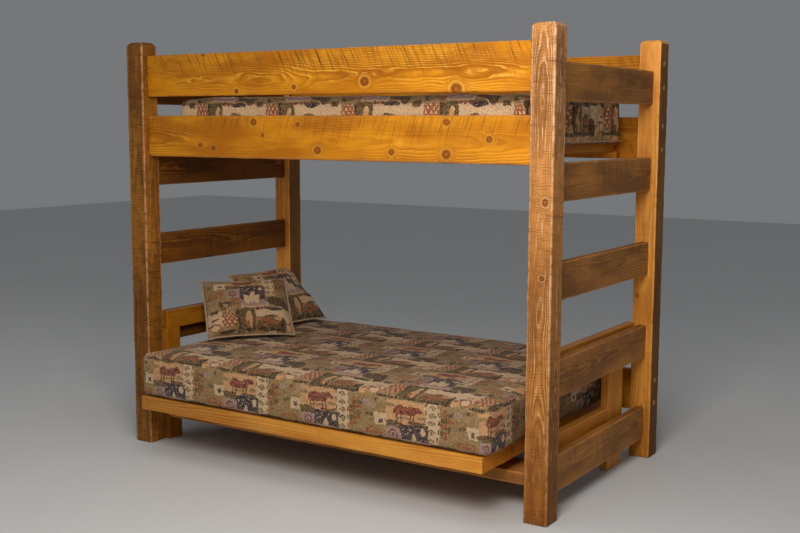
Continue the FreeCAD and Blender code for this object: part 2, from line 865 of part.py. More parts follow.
def make_futon_mattress():
    """Two halves that part in a wedge above the fold, so that they close when it is raised."""
    x = "futon_mattress_shift - futon_mattress_length / 2"
    seat_width = f"fold_line - {MATTRESS_FRONT} - {LOW_GAP}"
    seat = profile_bar(
        "mattress_seat_half", (x, MATTRESS_FRONT, FUTON_BED),
        [(0, 0), (600, 0), (450, 200), (0, 200)],
        [
            ("DistanceX", 0, 1, seat_width),
            ("DistanceX", 2, 1, WEDGE),
            ("DistanceY", 0, 3, "mattress_thickness"),
        ],
        "futon_mattress_length",
    )
    round_face(seat, min, "mattress_rounding")
    keep("mattress_seat_half", seat)
    back_start = f"fold_line + {LOW_GAP}"
    back = profile_bar(
        "mattress_back_half", (x, back_start, FUTON_BED),
        [(0, 0), (600, 0), (600, 200), (150, 200)],
        [
            ("DistanceX", 0, 1, f"futon_mattress_rear - ({back_start})"),
            ("DistanceX", 0, 3, WEDGE),
            ("DistanceY", 0, 3, "mattress_thickness"),
        ],
        "futon_mattress_length",
    )
    round_face(back, max, "mattress_rounding")
    keep("mattress_back_half", back)


def make_upper_mattress():
    corner = (
        "upper_mattress_shift - upper_mattress_length / 2",
        "(futon_overhang - upper_mattress_width) / 2",
        f"{SLAT_TOP} + soft_gap",
    )
    mattress = board(
        "mattress_upper", corner,
        ("upper_mattress_length", "upper_mattress_width", "mattress_thickness"),
    )
    round_face(mattress, min, "mattress_rounding")
    round_face(mattress, max, "mattress_rounding")
    keep("mattress_upper", mattress)


def make_pillow(label, foot_x, foot_y, turn, lean):
    """A rounded square pillow that stands on the futon mattress and leans back from its foot."""
    body = rectangular_body(label, ("pillow_width", "pillow_thickness", label + "_height"))
    round_face(body, min, "pillow_rounding")
    round_face(body, max, "pillow_rounding")
    size = {name: sheet.get(name) for name in SIZES}
    bed = size["deck_bottom"] + size["deck_rail_height"] + size["deck_slat_proud"] + size["soft_gap"]
    rounding = size["pillow_rounding"]
    tilt = math.radians(lean)
    lift = rounding * (1 - math.cos(tilt)) + (size["pillow_thickness"] / 2 - rounding) * math.sin(tilt)
    foot = Vector(foot_x, foot_y, bed + size["mattress_thickness"] + size["soft_gap"] + lift)
    spin = Rotation(Vector(0, 0, 1), turn) * Rotation(Vector(1, 0, 0), -lean)
    middle = Vector(-size["pillow_width"] / 2, -size["pillow_thickness"] / 2, 0)
    body.Placement = Placement(foot, spin) * Placement(middle, Rotation())
    keep(label, body)


make_futon_mattress()
make_upper_mattress()
make_pillow("pillow_front", foot_x=-658, foot_y=-169, turn=50, lean=42)
make_pillow("pillow_rear", foot_x=-683, foot_y=240, turn=85.5, lean=50)


# ---------------------------------------------------------------- check and write
doc.recompute()
for thing in doc.Objects:
    if {"Invalid", "Error"} & set(thing.State):
        raise RuntimeError(f"{thing.Label} failed: {thing.State}")
for label, thing in nodes.items():
    if thing.Shape.isNull() or not thing.Shape.isValid():
        raise RuntimeError(f"{label} has no valid shape")
for label, thing in nodes.items():
    thing.Shape.exportStep(f"parts/{label}.step")
whole = Part.makeCompound([thing.Shape for thing in nodes.values()])
print(f"{len(nodes)} nodes, box {whole.BoundBox}")
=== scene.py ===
"""Looks for the timber bunk bed over a fold-down futon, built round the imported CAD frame."""

import json
import math

import bmesh
import bpy
import numpy as np
from mathutils import Euler, Matrix, Vector


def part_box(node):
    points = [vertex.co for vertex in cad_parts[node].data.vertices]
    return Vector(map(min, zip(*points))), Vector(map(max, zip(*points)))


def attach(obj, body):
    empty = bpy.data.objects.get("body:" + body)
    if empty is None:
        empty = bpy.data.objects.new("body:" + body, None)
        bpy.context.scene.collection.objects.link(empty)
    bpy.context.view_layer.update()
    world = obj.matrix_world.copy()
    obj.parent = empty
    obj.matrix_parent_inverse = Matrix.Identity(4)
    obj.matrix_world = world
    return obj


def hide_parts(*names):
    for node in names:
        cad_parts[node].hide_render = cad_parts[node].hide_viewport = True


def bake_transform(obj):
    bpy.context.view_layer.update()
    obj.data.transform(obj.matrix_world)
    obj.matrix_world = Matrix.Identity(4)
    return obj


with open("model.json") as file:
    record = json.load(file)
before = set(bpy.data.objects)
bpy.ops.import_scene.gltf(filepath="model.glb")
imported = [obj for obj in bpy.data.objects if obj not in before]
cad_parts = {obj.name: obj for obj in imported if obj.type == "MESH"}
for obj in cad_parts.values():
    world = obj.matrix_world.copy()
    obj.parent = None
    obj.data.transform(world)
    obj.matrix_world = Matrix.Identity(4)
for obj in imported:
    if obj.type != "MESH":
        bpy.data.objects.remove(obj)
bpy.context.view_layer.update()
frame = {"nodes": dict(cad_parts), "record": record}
body_of_node = {
    node: body
    for body, nodes in frame["record"]["behaviour"]["bodies"].items()
    for node in nodes
}


# ---------------------------------------------------------------- camera
CAMERA_PLACE = (2.938, -4.377, 1.559)
CAMERA_YAW = 32.95
CAMERA_PITCH = -7.21
CAMERA_ROLL = -0.17
CAMERA_LENS = 50.82


def link(name, data):
    """A new object that holds data, linked into the scene."""
    made = bpy.data.objects.new(name, data)
    bpy.context.scene.collection.objects.link(made)
    return made


def make_camera():
    """A short telephoto, front right of the bed at head height."""
    data = bpy.data.cameras.new("camera")
    data.sensor_width = 36
    data.lens = CAMERA_LENS
    camera = link("camera", data)
    camera.location = CAMERA_PLACE
    camera.rotation_euler = Euler(
        (math.radians(90 + CAMERA_PITCH), math.radians(CAMERA_ROLL), math.radians(CAMERA_YAW)), "XYZ"
    )
    bpy.context.scene.camera = camera


make_camera()


# ---------------------------------------------------------------- shader arithmetic
def operator(name, swapped=False):
    """A method that joins two values with one maths node."""

    def apply(self, other):
        pair = (other, self) if swapped else (self, other)
        return self.net.math(name, *pair)

    return apply


class Value:
    """One output of a shader node, with ordinary arithmetic."""

    def __init__(self, net, socket):
        self.net = net
        self.socket = socket

    __add__ = __radd__ = operator("ADD")
    __sub__ = operator("SUBTRACT")
    __rsub__ = operator("SUBTRACT", swapped=True)
    __mul__ = __rmul__ = operator("MULTIPLY")
    __truediv__ = operator("DIVIDE")
    __lt__ = operator("LESS_THAN")
    __gt__ = operator("GREATER_THAN")

    def __abs__(self):
        return self.net.math("ABSOLUTE", self)


class Net:
    """The node tree of one material."""

    def __init__(self, name):
        self.material = bpy.data.materials.new(name)
        self.material.use_nodes = True
        self.tree = self.material.node_tree
        self.tree.nodes.clear()

    def add(self, kind, **settings):
        node = self.tree.nodes.new(kind)
        for key, value in settings.items():
            setattr(node, key, value)
        return node

    def feed(self, socket, value):
        """Links a Value to a socket, or sets the socket's own number or colour."""
        if isinstance(value, Value):
            self.tree.links.new(value.socket, socket)
        elif isinstance(value, (tuple, list)) and socket.type == "RGBA":
            socket.default_value = (*value, 1.0)
        else:
            socket.default_value = value

    def put(self, node, **numbers):
        """Sets a node's own numbers by input name, with _ for a space."""
        for name, number in numbers.items():
            node.inputs[name.replace("_", " ")].default_value = number

    def math(self, operation, *values):
        node = self.add("ShaderNodeMath", operation=operation)
        for socket, value in zip(node.inputs, values):
            self.feed(socket, value)
        return Value(self, node.outputs[0])

    def attribute(self, name, output="Vector"):
        node = self.add("ShaderNodeAttribute", attribute_name=name)
        return Value(self, node.outputs[output])

    def own_place(self):
        """The point in the object's own axes."""
        return Value(self, self.add("ShaderNodeTexCoord").outputs["Object"])

    def split(self, vector):
        node = self.add("ShaderNodeSeparateXYZ")
        self.feed(node.inputs[0], vector)
        return [Value(self, socket) for socket in node.outputs]

    def join(self, x, y, z=0.0):
        node = self.add("ShaderNodeCombineXYZ")
        for socket, value in zip(node.inputs, (x, y, z)):
            self.feed(socket, value)
        return Value(self, node.outputs[0])

    def noise(self, vector, scale=1.0, detail=2.0, roughness=0.5):
        """Smooth noise from 0 to 1, at a vector or at three numbers."""
        node = self.add("ShaderNodeTexNoise")
        self.feed(node.inputs["Vector"], self.join(*vector) if isinstance(vector, tuple) else vector)
        self.put(node, Scale=scale, Detail=detail, Roughness=roughness)
        return Value(self, node.outputs["Fac"])

    def cells(self, vector, scale):
        """Distance to the nearest scattered point, and that point's random number."""
        node = self.add("ShaderNodeTexVoronoi", voronoi_dimensions="2D")
        self.feed(node.inputs["Vector"], vector)
        self.put(node, Scale=scale)
        chance = self.split(Value(self, node.outputs["Color"]))[0]
        return Value(self, node.outputs["Distance"]), chance

    def ramp(self, value, start, end):
        """0 before start, 1 after end and a smooth rise between; start may be above end."""
        node = self.add("ShaderNodeMapRange", interpolation_type="SMOOTHSTEP")
        self.feed(node.inputs["Value"], value)
        falling = start > end
        self.put(node, From_Min=min(start, end), From_Max=max(start, end), To_Min=falling * 1.0)
        self.put(node, To_Max=1.0 - falling)
        return Value(self, node.outputs["Result"])

    def most(self, values):
        """The largest of several numbers."""
        result = values[0]
        for value in values[1:]:
            result = self.math("MAXIMUM", result, value)
        return result

    def mix(self, share, first, second):
        """A colour between first and second."""
        node = self.add("ShaderNodeMix", data_type="RGBA")
        self.feed(node.inputs[0], share)
        self.feed(node.inputs[6], first)
        self.feed(node.inputs[7], second)
        return Value(self, node.outputs[2])

    def shade(self, colour, brightness):
        """A colour made darker or lighter by a number."""
        node = self.add("ShaderNodeVectorMath", operation="SCALE")
        self.feed(node.inputs[0], colour)
        self.feed(node.inputs[3], brightness)
        return Value(self, node.outputs[0])

    def tint(self, colour, gain):
        """A colour with its red, green and blue each scaled."""
        node = self.add("ShaderNodeVectorMath", operation="MULTIPLY")
        self.feed(node.inputs[0], colour)
        self.feed(node.inputs[1], gain)
        return Value(self, node.outputs[0])

    def surface(self, colour, roughness, height=None, metallic=0.0, **fixed):
        """Ends the tree with a Principled shader; height is in metres."""
        shader = self.add("ShaderNodeBsdfPrincipled")
        self.feed(shader.inputs["Base Color"], colour)
        self.feed(shader.inputs["Roughness"], roughness)
        self.put(shader, Metallic=metallic, **fixed)
        if height is not None:
            bump = self.add("ShaderNodeBump")
            self.put(bump, Distance=1.0, Strength=1.0)
            self.feed(bump.inputs["Height"], height)
            self.tree.links.new(bump.outputs[0], shader.inputs["Normal"])
        output = self.add("ShaderNodeOutputMaterial")
        self.tree.links.new(shader.outputs[0], output.inputs[0])
        return self.material


# ---------------------------------------------------------------- wood
RAIL_HALF_HEIGHT = 0.096
POST_SIDE_REACH = 0.0485
POST_FRONT_REACH = 0.0478
STRAY_RATE = 4.6
STRAY_RADIUS = 0.0085
DARK_SHARE = 0.039
# worn is the tone of the arrises and low edges: partly real wear, partly a painted highlight.
STAIN_TONES = ("pale", "deep", "line", "bright", "saw_tint", "worn")


def colour(red, green, blue):
    """A linear colour from the usual 0 to 255 display numbers."""
    shares = [number / 255 for number in (red, green, blue)]
    return tuple(c / 12.92 if c < DARK_SHARE else ((c + 0.055) / 1.055) ** 2.4 for c in shares)


KNOT_DEEP = colour(128, 66, 14)
KNOT_PALE = colour(168, 92, 18)
KNOT_EDGE = colour(84, 42, 8)


def stain(*tones):
    """The colours of one stain, in the order of STAIN_TONES."""
    return {name: colour(*tone) for name, tone in zip(STAIN_TONES, tones)}


def wood(
    name, pale, deep, line, bright, saw_tint, worn, gain=(1.0, 1.0, 1.0), ring_gap=0.008, taper=0.012,
    wander=0.03, curl=0.008, ring_share=0.5, bright_share=0.0, streak_and_glint_share=0.0, saw=0.6, saw_slant=0.3,
    saw_rate=70.0, saw_top=None, saw_cover=0.0, arc_gap=0.0, arc_share=0.0, worn_and_highlight_share=0.5, foot_wear_and_highlight=0.0,
    painted_side_light=1.0, knots=(), side_knots=(), stray_knots=0.93, relief=1.0, rough=0.62, coat=0.0, light_falloff=0.0,
    light_falloff_tint=(1.0, 1.0, 1.0),
):
    """Sawn timber: growth rings round a heart line, fibres, saw marks, knots, worn arrises with a painted
    highlight, and end grain.

    pale and deep are the stain's two tones, line the late wood and bright the raised early wood. gain
    tints the whole. saw_top limits the saw streaks to above that height on the face, and saw_cover spreads
    them from clusters to the whole board. arc_gap spaces curved saw marks, and foot_wear_and_highlight is
    the width of a strip along the board's low edge, partly wear and partly a painted highlight.
    painted_side_light paints shade on a post's two sides below 1 and light on them above 1. light_falloff
    paints light falling off along the board: it darkens the board per metre before its middle and
    lightens it beyond, and light_falloff_tint colours that painted change. knots are (along, across,
    radius) on the wide faces, and side_knots are (along, through, radius) on the others.
    """
    net = Net(name)
    u, a, b = net.split(net.attribute("grain"))
    along, across, through = net.split(net.attribute("board"))
    arris = net.attribute("arris", "Fac")
    end = net.attribute("end", "Fac")
    tone = net.attribute("tone", "Fac")

    # knots: the named ones, and stray small ones where the scatter's chance is high
    spread, chance = net.cells(net.join(u, a + b * 0.25), scale=STRAY_RATE)
    near = spread * (1 / STRAY_RATE) / STRAY_RADIUS + (chance < stray_knots) * 50.0
    named = [(across, *knot) for knot in knots] + [(through, *knot) for knot in side_knots]
    for offset, place, side, radius in named:
        du = along - place
        da = (offset - side) * 1.15
        near = net.math("MINIMUM", near, net.math("SQRT", du * du + da * da) / radius)
    near = near + (net.noise((u, a, b), scale=160, detail=1) - 0.5) * 0.35
    knot = net.ramp(near, 1.1, 0.85)
    halo = net.ramp(near, 3.4, 0.7)

    # growth rings
    slow = net.noise((u * 1.3, a * 5, b * 5), detail=1) - 0.5
    quick = net.noise((u * 6, a * 17, b * 17), detail=2) - 0.5
    radius = net.math("SQRT", a * a + b * b) + u * taper + slow * wander + quick * curl + halo * 0.014
    ring = net.math("FRACT", radius / ring_gap)
    late = net.ramp(ring, 0.35, 0.85) * net.ramp(ring, 1.0, 0.9)
    early = net.ramp(ring, 0.0, 0.12) * net.ramp(ring, 0.42, 0.16)
    fibre = net.noise((u * 6, a * 420, b * 420), detail=2)
    cloud = net.noise((u * 2.6, a * 9, b * 9), detail=3, roughness=0.55)
    figure = net.ramp(net.noise((u * 1.9 + 7.0, a * 7, b * 7), detail=1), 0.36, 0.62)

    # saw marks: short slanting streaks across the board, in clusters
    skew = along + (across + through) * saw_slant + across * across * 0.6
    strokes = net.noise((skew * saw_rate, across * 5, through * 5 + u * 0.01), detail=2, roughness=0.7)
    fine = net.noise((skew * saw_rate * 3.1, across * 9, through * 9), detail=1)
    patch = net.ramp(net.noise((u * 3.1, a * 7, b * 7), detail=2), 0.38, 0.66)
    patch = patch * (1.0 - saw_cover) + saw_cover
    if saw_top is not None:
        patch = patch * net.ramp(across + (cloud - 0.5) * 0.12, saw_top - 0.05, saw_top + 0.06)
    cut = net.ramp(strokes, 0.50, 0.70) * patch
    scratch = net.ramp(fine, 0.5, 0.72)

    body = net.mix(net.ramp(cloud, 0.34, 0.68), deep, pale)
    body = net.mix(late * ring_share * (0.35 + figure * 0.65), body, line)
    broken = net.ramp(net.noise((u * 16, a * 70, b * 70), detail=2), 0.44, 0.60)
    raised = early * figure * (1.0 - scratch * 0.7) * (0.25 + broken * 0.75)
    body = net.mix(raised * bright_share, body, bright)
    # Bright streaks: partly grain figure, partly a painted flash highlight.
    if streak_and_glint_share:
        streak = net.noise((u * 9 + 3.0, a * 130, b * 130), detail=3, roughness=0.6)
        where = net.ramp(net.noise((u * 3.4, a * 11, b * 11), detail=2), 0.46, 0.60)
        body = net.mix(net.ramp(streak, 0.56, 0.70) * where * streak_and_glint_share, body, bright)
    body = net.mix(cut * saw, body, saw_tint)
    height_of_arcs = 0.0
    if arc_gap:
        wobble = net.noise((along * 5, across * 3, through * 3), detail=2) - 0.5
        bow = (across + through) * (across + through) * 2.2
        arc = net.math("FRACT", (along + (across + through) * saw_slant + bow + wobble * 0.040) / arc_gap)
        faint = net.ramp(net.noise((along * 34, across * 22, through * 22), detail=3), 0.42, 0.60)
        arc = net.ramp(arc, 0.0, 0.22) * net.ramp(arc, 0.62, 0.24) * faint
        body = net.mix(arc * arc_share, body, saw_tint)
        height_of_arcs = arc * (-0.0006 * relief)
    body = net.mix(halo * 0.35, body, line)
    core = net.mix(net.ramp(net.math("SINE", near * 7.0), -0.4, 0.9), KNOT_DEEP, KNOT_PALE)
    body = net.mix(knot * 0.85, body, core)
    body = net.mix(net.ramp(near, 1.35, 1.0) * net.ramp(near, 0.70, 0.98) * 0.5, body, KNOT_EDGE)
    body = net.mix(net.ramp(near, 2.2, 1.7) * net.ramp(near, 1.2, 1.6) * bright_share * 0.5, body, bright)
    body = net.shade(body, 0.86 + fibre * 0.28)
    body = net.shade(body, tone + 1.0)
    chip = net.noise((u * 40, a * 40, b * 40), detail=2)
    # Worn arrises: partly real wear, partly a painted highlight along the edges.
    body = net.mix(arris * worn_and_highlight_share * net.ramp(chip, 0.25, 0.6), body, worn)
    # A strip of the worn tone along the low edge: partly wear, partly a painted highlight.
    if foot_wear_and_highlight:
        from_foot = across + RAIL_HALF_HEIGHT + (chip - 0.5) * 0.006 + (cloud - 0.5) * 0.012
        body = net.mix(net.ramp(from_foot, foot_wear_and_highlight, foot_wear_and_highlight * 0.6) * 0.6, body, worn)
    heart = net.math("FRACT", (radius + quick * 0.004) / (ring_gap * 0.8))
    butt = net.mix(net.ramp(heart, 0.2, 0.9), deep, line)
    body = net.mix(end * 0.8, body, butt)
    # Painted light and shade on a post's two side faces: below 1 darkens them, above 1 lightens them.
    if painted_side_light != 1.0:
        on_side = (abs(across) > POST_SIDE_REACH) * (abs(through) < POST_FRONT_REACH)
        body = net.shade(body, on_side * (painted_side_light - 1.0) + 1.0)
    body = net.tint(body, gain)
    # Painted light: the board darkens before its middle and lightens and pales beyond, as light falling off
    # along it.
    if light_falloff:
        body = net.tint(body, net.join(*(along * (light_falloff * share) + 1.0 for share in light_falloff_tint)))

    height = (
        (late - early) * (0.00009 * relief)
        + fibre * (0.00030 * relief)
        - net.ramp(strokes, 0.45, 0.7) * (0.0006 * relief) * (patch * 0.7 + 0.3)
        - scratch * (0.00035 * relief)
        + knot * 0.0003
        + height_of_arcs
    )
    roughness = rough + (cloud - 0.5) * 0.18 + late * 0.05 - arris * 0.12
    return net.surface(
        body, roughness, height, Specular_IOR_Level=0.22, Coat_Weight=coat, Coat_Roughness=0.32
    )


# ---------------------------------------------------------------- timber meshes
SAWN_END = ((0.0, 0.0025), (0.0008, 0.0009), (0.0028, 0.0))
EASED_END = ((0.0, 0.0045), (0.0014, 0.0018), (0.0045, 0.0))
POST_TOP = ((0.0, 0.0160), (0.0015, 0.0132), (0.0060, 0.0080), (0.0120, 0.0018), (0.0160, 0.0))
CAP_SHARES = (0.86, 0.62, 0.36, 0.14)
HEART_SHIFT = 1.73
CORNER_SIGNS = ((1, 1), (-1, 1), (-1, -1), (1, -1))
LIP_CODES = (100, 200)


def ripple(points, wavelength, seed, waves=7):
    """Smooth seeded noise from about -1 to 1 at an array of points."""
    chance = np.random.default_rng(seed)
    total = np.zeros(len(points))
    for _ in range(waves):
        heading = chance.normal(size=3)
        heading /= np.linalg.norm(heading)
        rate = 2 * math.pi / wavelength * chance.uniform(0.6, 1.5)
        total += np.sin(points @ heading * rate + chance.uniform(0, 2 * math.pi))
    return total / math.sqrt(waves) * 0.85


def round_section(half_a, half_b, largest, step, splits):
    """Points round a rounded rectangle: fixed places on its flats, signs and directions on its corners."""
    rows = []
    margin = largest + 0.002
    for corner, (sign_a, sign_b) in enumerate(CORNER_SIGNS):
        for turn in (0, 30, 60, 90):
            angle = math.radians(90 * corner + turn)
            rows.append((0, 0, sign_a, sign_b, math.cos(angle), math.sin(angle), 1.0, -1))
        flat_is_a = corner % 2 == 0
        reach = (half_a if flat_is_a else half_b) - margin
        sign = sign_b if flat_is_a else CORNER_SIGNS[(corner + 1) % 4][0]
        count = max(1, math.ceil(2 * reach / step))
        places = [reach - 2 * reach * k / count for k in range(count + 1)]
        marks = [-1] * len(places)
        for number, split in enumerate(splits):
            if split["side"] == corner:
                wide = split["width"] / 2
                places = [p for p in places if abs(p - split["at"]) > 2.5 * wide + 0.003]
                marks = [-1] * len(places)
                places += [split["at"] + wide, split["at"], split["at"] - wide]
                marks += [LIP_CODES[0] + number, number, LIP_CODES[1] + number]
        order = np.argsort(places)
        if corner in (0, 1):
            order = order[::-1]
        for k in order:
            if flat_is_a:
                rows.append((places[k], 0, 0, sign, 0, sign, 0.0, marks[k]))
            else:
                rows.append((0, places[k], sign, 0, sign, 0, 0.0, marks[k]))
    return np.array(rows, float)


def timber(
    low, high, axis, seed, radius=0.003, dent=0.0010, heart=(0.0, 0.0), tone=0.0, step=0.012,
    start_end=SAWN_END, stop_end=SAWN_END, splits=(), across="z",
):
    """Arrays for one sawn board: an uneven rounded bar along axis, all of it inside its box.

    across is the world axis of the board's wide face, and the third axis runs through it.
    heart is where the tree's heart line passes the section, from its middle.
    """
    names = "xyz"
    long = names.index(axis)
    wide = names.index(across)
    thin = 3 - long - wide
    low, high = np.array(low), np.array(high)
    middle = (low + high) / 2
    half = (high - low) / 2
    half_a, half_b = half[wide], half[thin]
    length = 2 * half[long]
    section = round_section(half_a, half_b, radius * 1.9, step, splits)
    fixed_a, fixed_b, sign_a, sign_b, dir_a, dir_b, is_arris, mark = section.T
    corner_number = (sign_a < 0) * 1.0 + (sign_b < 0) * 2.0

    places = [du for du, _ in start_end]
    insets = [inset for _, inset in start_end]
    first, last = start_end[-1][0], length - stop_end[-1][0]
    count = max(2, math.ceil((last - first) / step))
    for k in range(1, count):
        places.append(first + (last - first) * k / count)
        insets.append(0.0)
    for du, inset in reversed(stop_end):
        places.append(length - du)
        insets.append(inset)
    places, insets = np.array(places), np.array(insets)
    rings, ring_size = len(places), len(section)

    u = np.repeat(places, ring_size)
    inset = np.repeat(insets, ring_size)

    def spread(values):
        return np.tile(values, rings)

    edge_points = np.stack([u, spread(corner_number) * 3.1, np.zeros_like(u)], 1)
    wear = 0.45 * ripple(edge_points, 0.16, seed) + 0.3 * ripple(edge_points, 0.045, seed + 1)
    worn = radius * (1.0 + wear)
    bite = np.clip(ripple(edge_points, 0.11, seed + 2) - 0.9, 0, 1) * radius * 1.5
    worn = np.clip(worn + bite, radius * 0.35, radius * 1.85)
    reach_a, reach_b = half_a - inset, half_b - inset
    pos_a = spread(fixed_a) * reach_a / half_a + spread(sign_a) * (reach_a - worn) + spread(dir_a) * worn
    pos_b = spread(fixed_b) * reach_b / half_b + spread(sign_b) * (reach_b - worn) + spread(dir_b) * worn
    on_flat_a = spread((sign_a == 0) * 1.0)
    on_flat_b = spread((sign_b == 0) * 1.0)
    pos_b = np.where(on_flat_a > 0, spread(sign_b) * reach_b, pos_b)
    pos_a = np.where(on_flat_b > 0, spread(sign_a) * reach_a, pos_a)
    dots = np.stack([u, pos_a, pos_b], 1)
    hollow = 0.5 + 0.3 * ripple(dots * (1, 2, 2), 0.5, seed + 3)
    hollow += 0.2 * ripple(dots * (1, 0.4, 0.4), 0.06, seed + 4)
    hollow = np.clip(hollow, 0, 1) * dent
    pos_a -= spread(dir_a) * hollow
    pos_b -= spread(dir_b) * hollow

    for number, split in enumerate(splits):
        share = (u - split["start"]) / (split["stop"] - split["start"])
        open_share = np.clip(np.minimum(share, 1 - share) * 8, 0, 1)
        drift = 0.004 * ripple(np.stack([u, 0 * u, 0 * u], 1), 0.35, seed + 9 + number)
        marks = spread(mark)
        on_a = split["side"] % 2 == 0
        flat, out, heading = (pos_a, pos_b, dir_b) if on_a else (pos_b, pos_a, dir_a)
        for code, way in zip(LIP_CODES, (1, -1)):
            lip = marks == code + number
            target = split["at"] + way * split["width"] / 2 * np.maximum(open_share, 0.15) + drift
            flat[lip] = target[lip]
        inside = marks == number
        flat[inside] = split["at"] + drift[inside]
        out[inside] -= (spread(heading) * split["depth"] * open_share)[inside]

    arris = spread(is_arris)
    index = np.arange(rings * ring_size).reshape(rings, ring_size)
    after = np.roll(index, -1, axis=1)
    quads = np.stack([index[:-1], index[1:], after[1:], after[:-1]], -1).reshape(-1, 4)
    faces = quads.tolist()
    is_end = [0.0] * len(faces)

    extra = []
    base = rings * ring_size
    for ring, outward in ((0, -1), (rings - 1, 1)):
        previous = index[ring]
        edge_a, edge_b = pos_a[previous], pos_b[previous]
        for share in CAP_SHARES:
            cap_a, cap_b = edge_a * share, edge_b * share
            roughness = np.clip(ripple(np.stack([cap_a, cap_b, 0 * cap_a], 1), 0.02, seed + 5), -1, 1)
            grit = 0.0005 * (1 + roughness)
            extra.append(np.stack([places[ring] - outward * grit * (share < 0.8), cap_a, cap_b], 1))
            current = np.arange(base, base + ring_size)
            base += ring_size
            faces += np.stack(
                [previous, np.roll(previous, -1), np.roll(current, -1), current][:: outward * -1], -1
            ).tolist()
            is_end += [1.0] * ring_size
            previous = current
        extra.append(np.array([[places[ring] - outward * 0.0004, 0.0, 0.0]]))
        faces += [
            [int(p), int(q), base][:: outward * -1] for p, q in zip(previous, np.roll(previous, -1))
        ]
        is_end += [1.0] * ring_size
        base += 1
    body = np.concatenate([np.stack([u, pos_a, pos_b], 1), *extra])
    arris = np.concatenate([arris, np.zeros(len(body) - len(arris))])

    points = np.zeros((len(body), 3))
    points[:, long] = low[long] + body[:, 0]
    points[:, wide] = middle[wide] + body[:, 1]
    points[:, thin] = middle[thin] + body[:, 2]
    grain = body - (0, heart[0], heart[1])
    grain[:, 0] += HEART_SHIFT * seed
    board = body - (length / 2, 0, 0)
    return {
        "points": points,
        "faces": faces,
        "grain": grain,
        "board": board,
        "arris": arris,
        "tone": np.full(len(body), tone),
        "end": is_end,
    }


def outward_faces(mesh):
    """Turns every face of a closed mesh outwards."""
    work = bmesh.new()
    work.from_mesh(mesh)
    bmesh.ops.recalc_face_normals(work, faces=work.faces)
    work.to_mesh(mesh)
    work.free()


def place_mesh(name, mesh, material):
    """Links a closed mesh into the scene as a smooth object of one material."""
    outward_faces(mesh)
    mesh.shade_smooth()
    mesh.materials.append(material)
    return link(name, mesh)


def add_timber(name, nodes, shells, material):
    """One object from one or more boards; it stands for the CAD nodes and rides on their body."""
    points, faces, offset = [], [], 0
    fields = {"grain": [], "board": [], "arris": [], "tone": [], "end": []}
    for shell in shells:
        points.append(shell["points"])
        faces += [[v + offset for v in face] for face in shell["faces"]]
        offset += len(shell["points"])
        for key in fields:
            fields[key].append(shell[key])
    mesh = bpy.data.meshes.new(name)
    mesh.from_pydata(np.concatenate(points).tolist(), [], faces)
    for key, parts in fields.items():
        values = np.concatenate(parts).astype(np.float32)
        kind = "FLOAT_VECTOR" if values.ndim == 2 else "FLOAT"
        layer = mesh.attributes.new(key, kind, "FACE" if key == "end" else "POINT")
        layer.data.foreach_set("vector" if values.ndim == 2 else "value", values.ravel())
    piece = place_mesh(name, mesh, material)
    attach(piece, body_of_node[nodes[0]])
    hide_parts(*nodes)


def solid_boxes(node):
    """The box of each separate solid in a CAD node, sorted by place."""
    mesh = frame["nodes"][node].data
    coords = np.array([v.co for v in mesh.vertices])
    keys = {}
    merged = [keys.setdefault(tuple(np.round(c, 5)), len(keys)) for c in coords]
    parent = list(range(len(keys)))

    def root(k):
        while parent[k] != k:
            parent[k] = parent[parent[k]]
            k = parent[k]
        return k

    for edge in mesh.edges:
        first, second = (root(merged[v]) for v in edge.vertices)
        parent[first] = second
    groups = {}
    for k, point in enumerate(coords):
        groups.setdefault(root(merged[k]), []).append(point)
    boxes = [(np.min(points, 0), np.max(points, 0)) for points in groups.values()]
    return sorted(boxes, key=lambda pair: tuple(np.round(pair[0], 4)))


# ---------------------------------------------------------------- wood finishes
HONEY = stain((224, 144, 20), (182, 106, 4), (136, 70, 4), (250, 190, 84), (86, 50, 8), (176, 112, 50))
# The front right post's bright tone is a pinkish white: raised early wood, and also the painted flash
# highlight of its streaks.
FRONT_RIGHT = stain(
    (196, 128, 62), (150, 92, 38), (104, 58, 22), (255, 206, 158), (96, 58, 26), (236, 178, 128)
)
FRONT_LEFT = stain(
    (156, 100, 32), (112, 68, 18), (82, 46, 12), (196, 130, 58), (50, 30, 10), (196, 138, 92)
)
REAR_POST = stain(
    (196, 132, 60), (158, 98, 34), (118, 68, 20), (214, 150, 78), (96, 58, 24), (206, 146, 84)
)
RUNG = stain((108, 72, 38), (78, 50, 26), (54, 32, 16), (160, 108, 54), (46, 28, 14), (132, 90, 52))
LEFT_RUNG = stain((122, 76, 22), (86, 50, 12), (60, 34, 8), (166, 110, 44), (48, 28, 8), (142, 94, 42))
PINE = stain((226, 152, 54), (200, 122, 28), (160, 88, 18), (240, 178, 88), (140, 82, 22), (206, 140, 60))

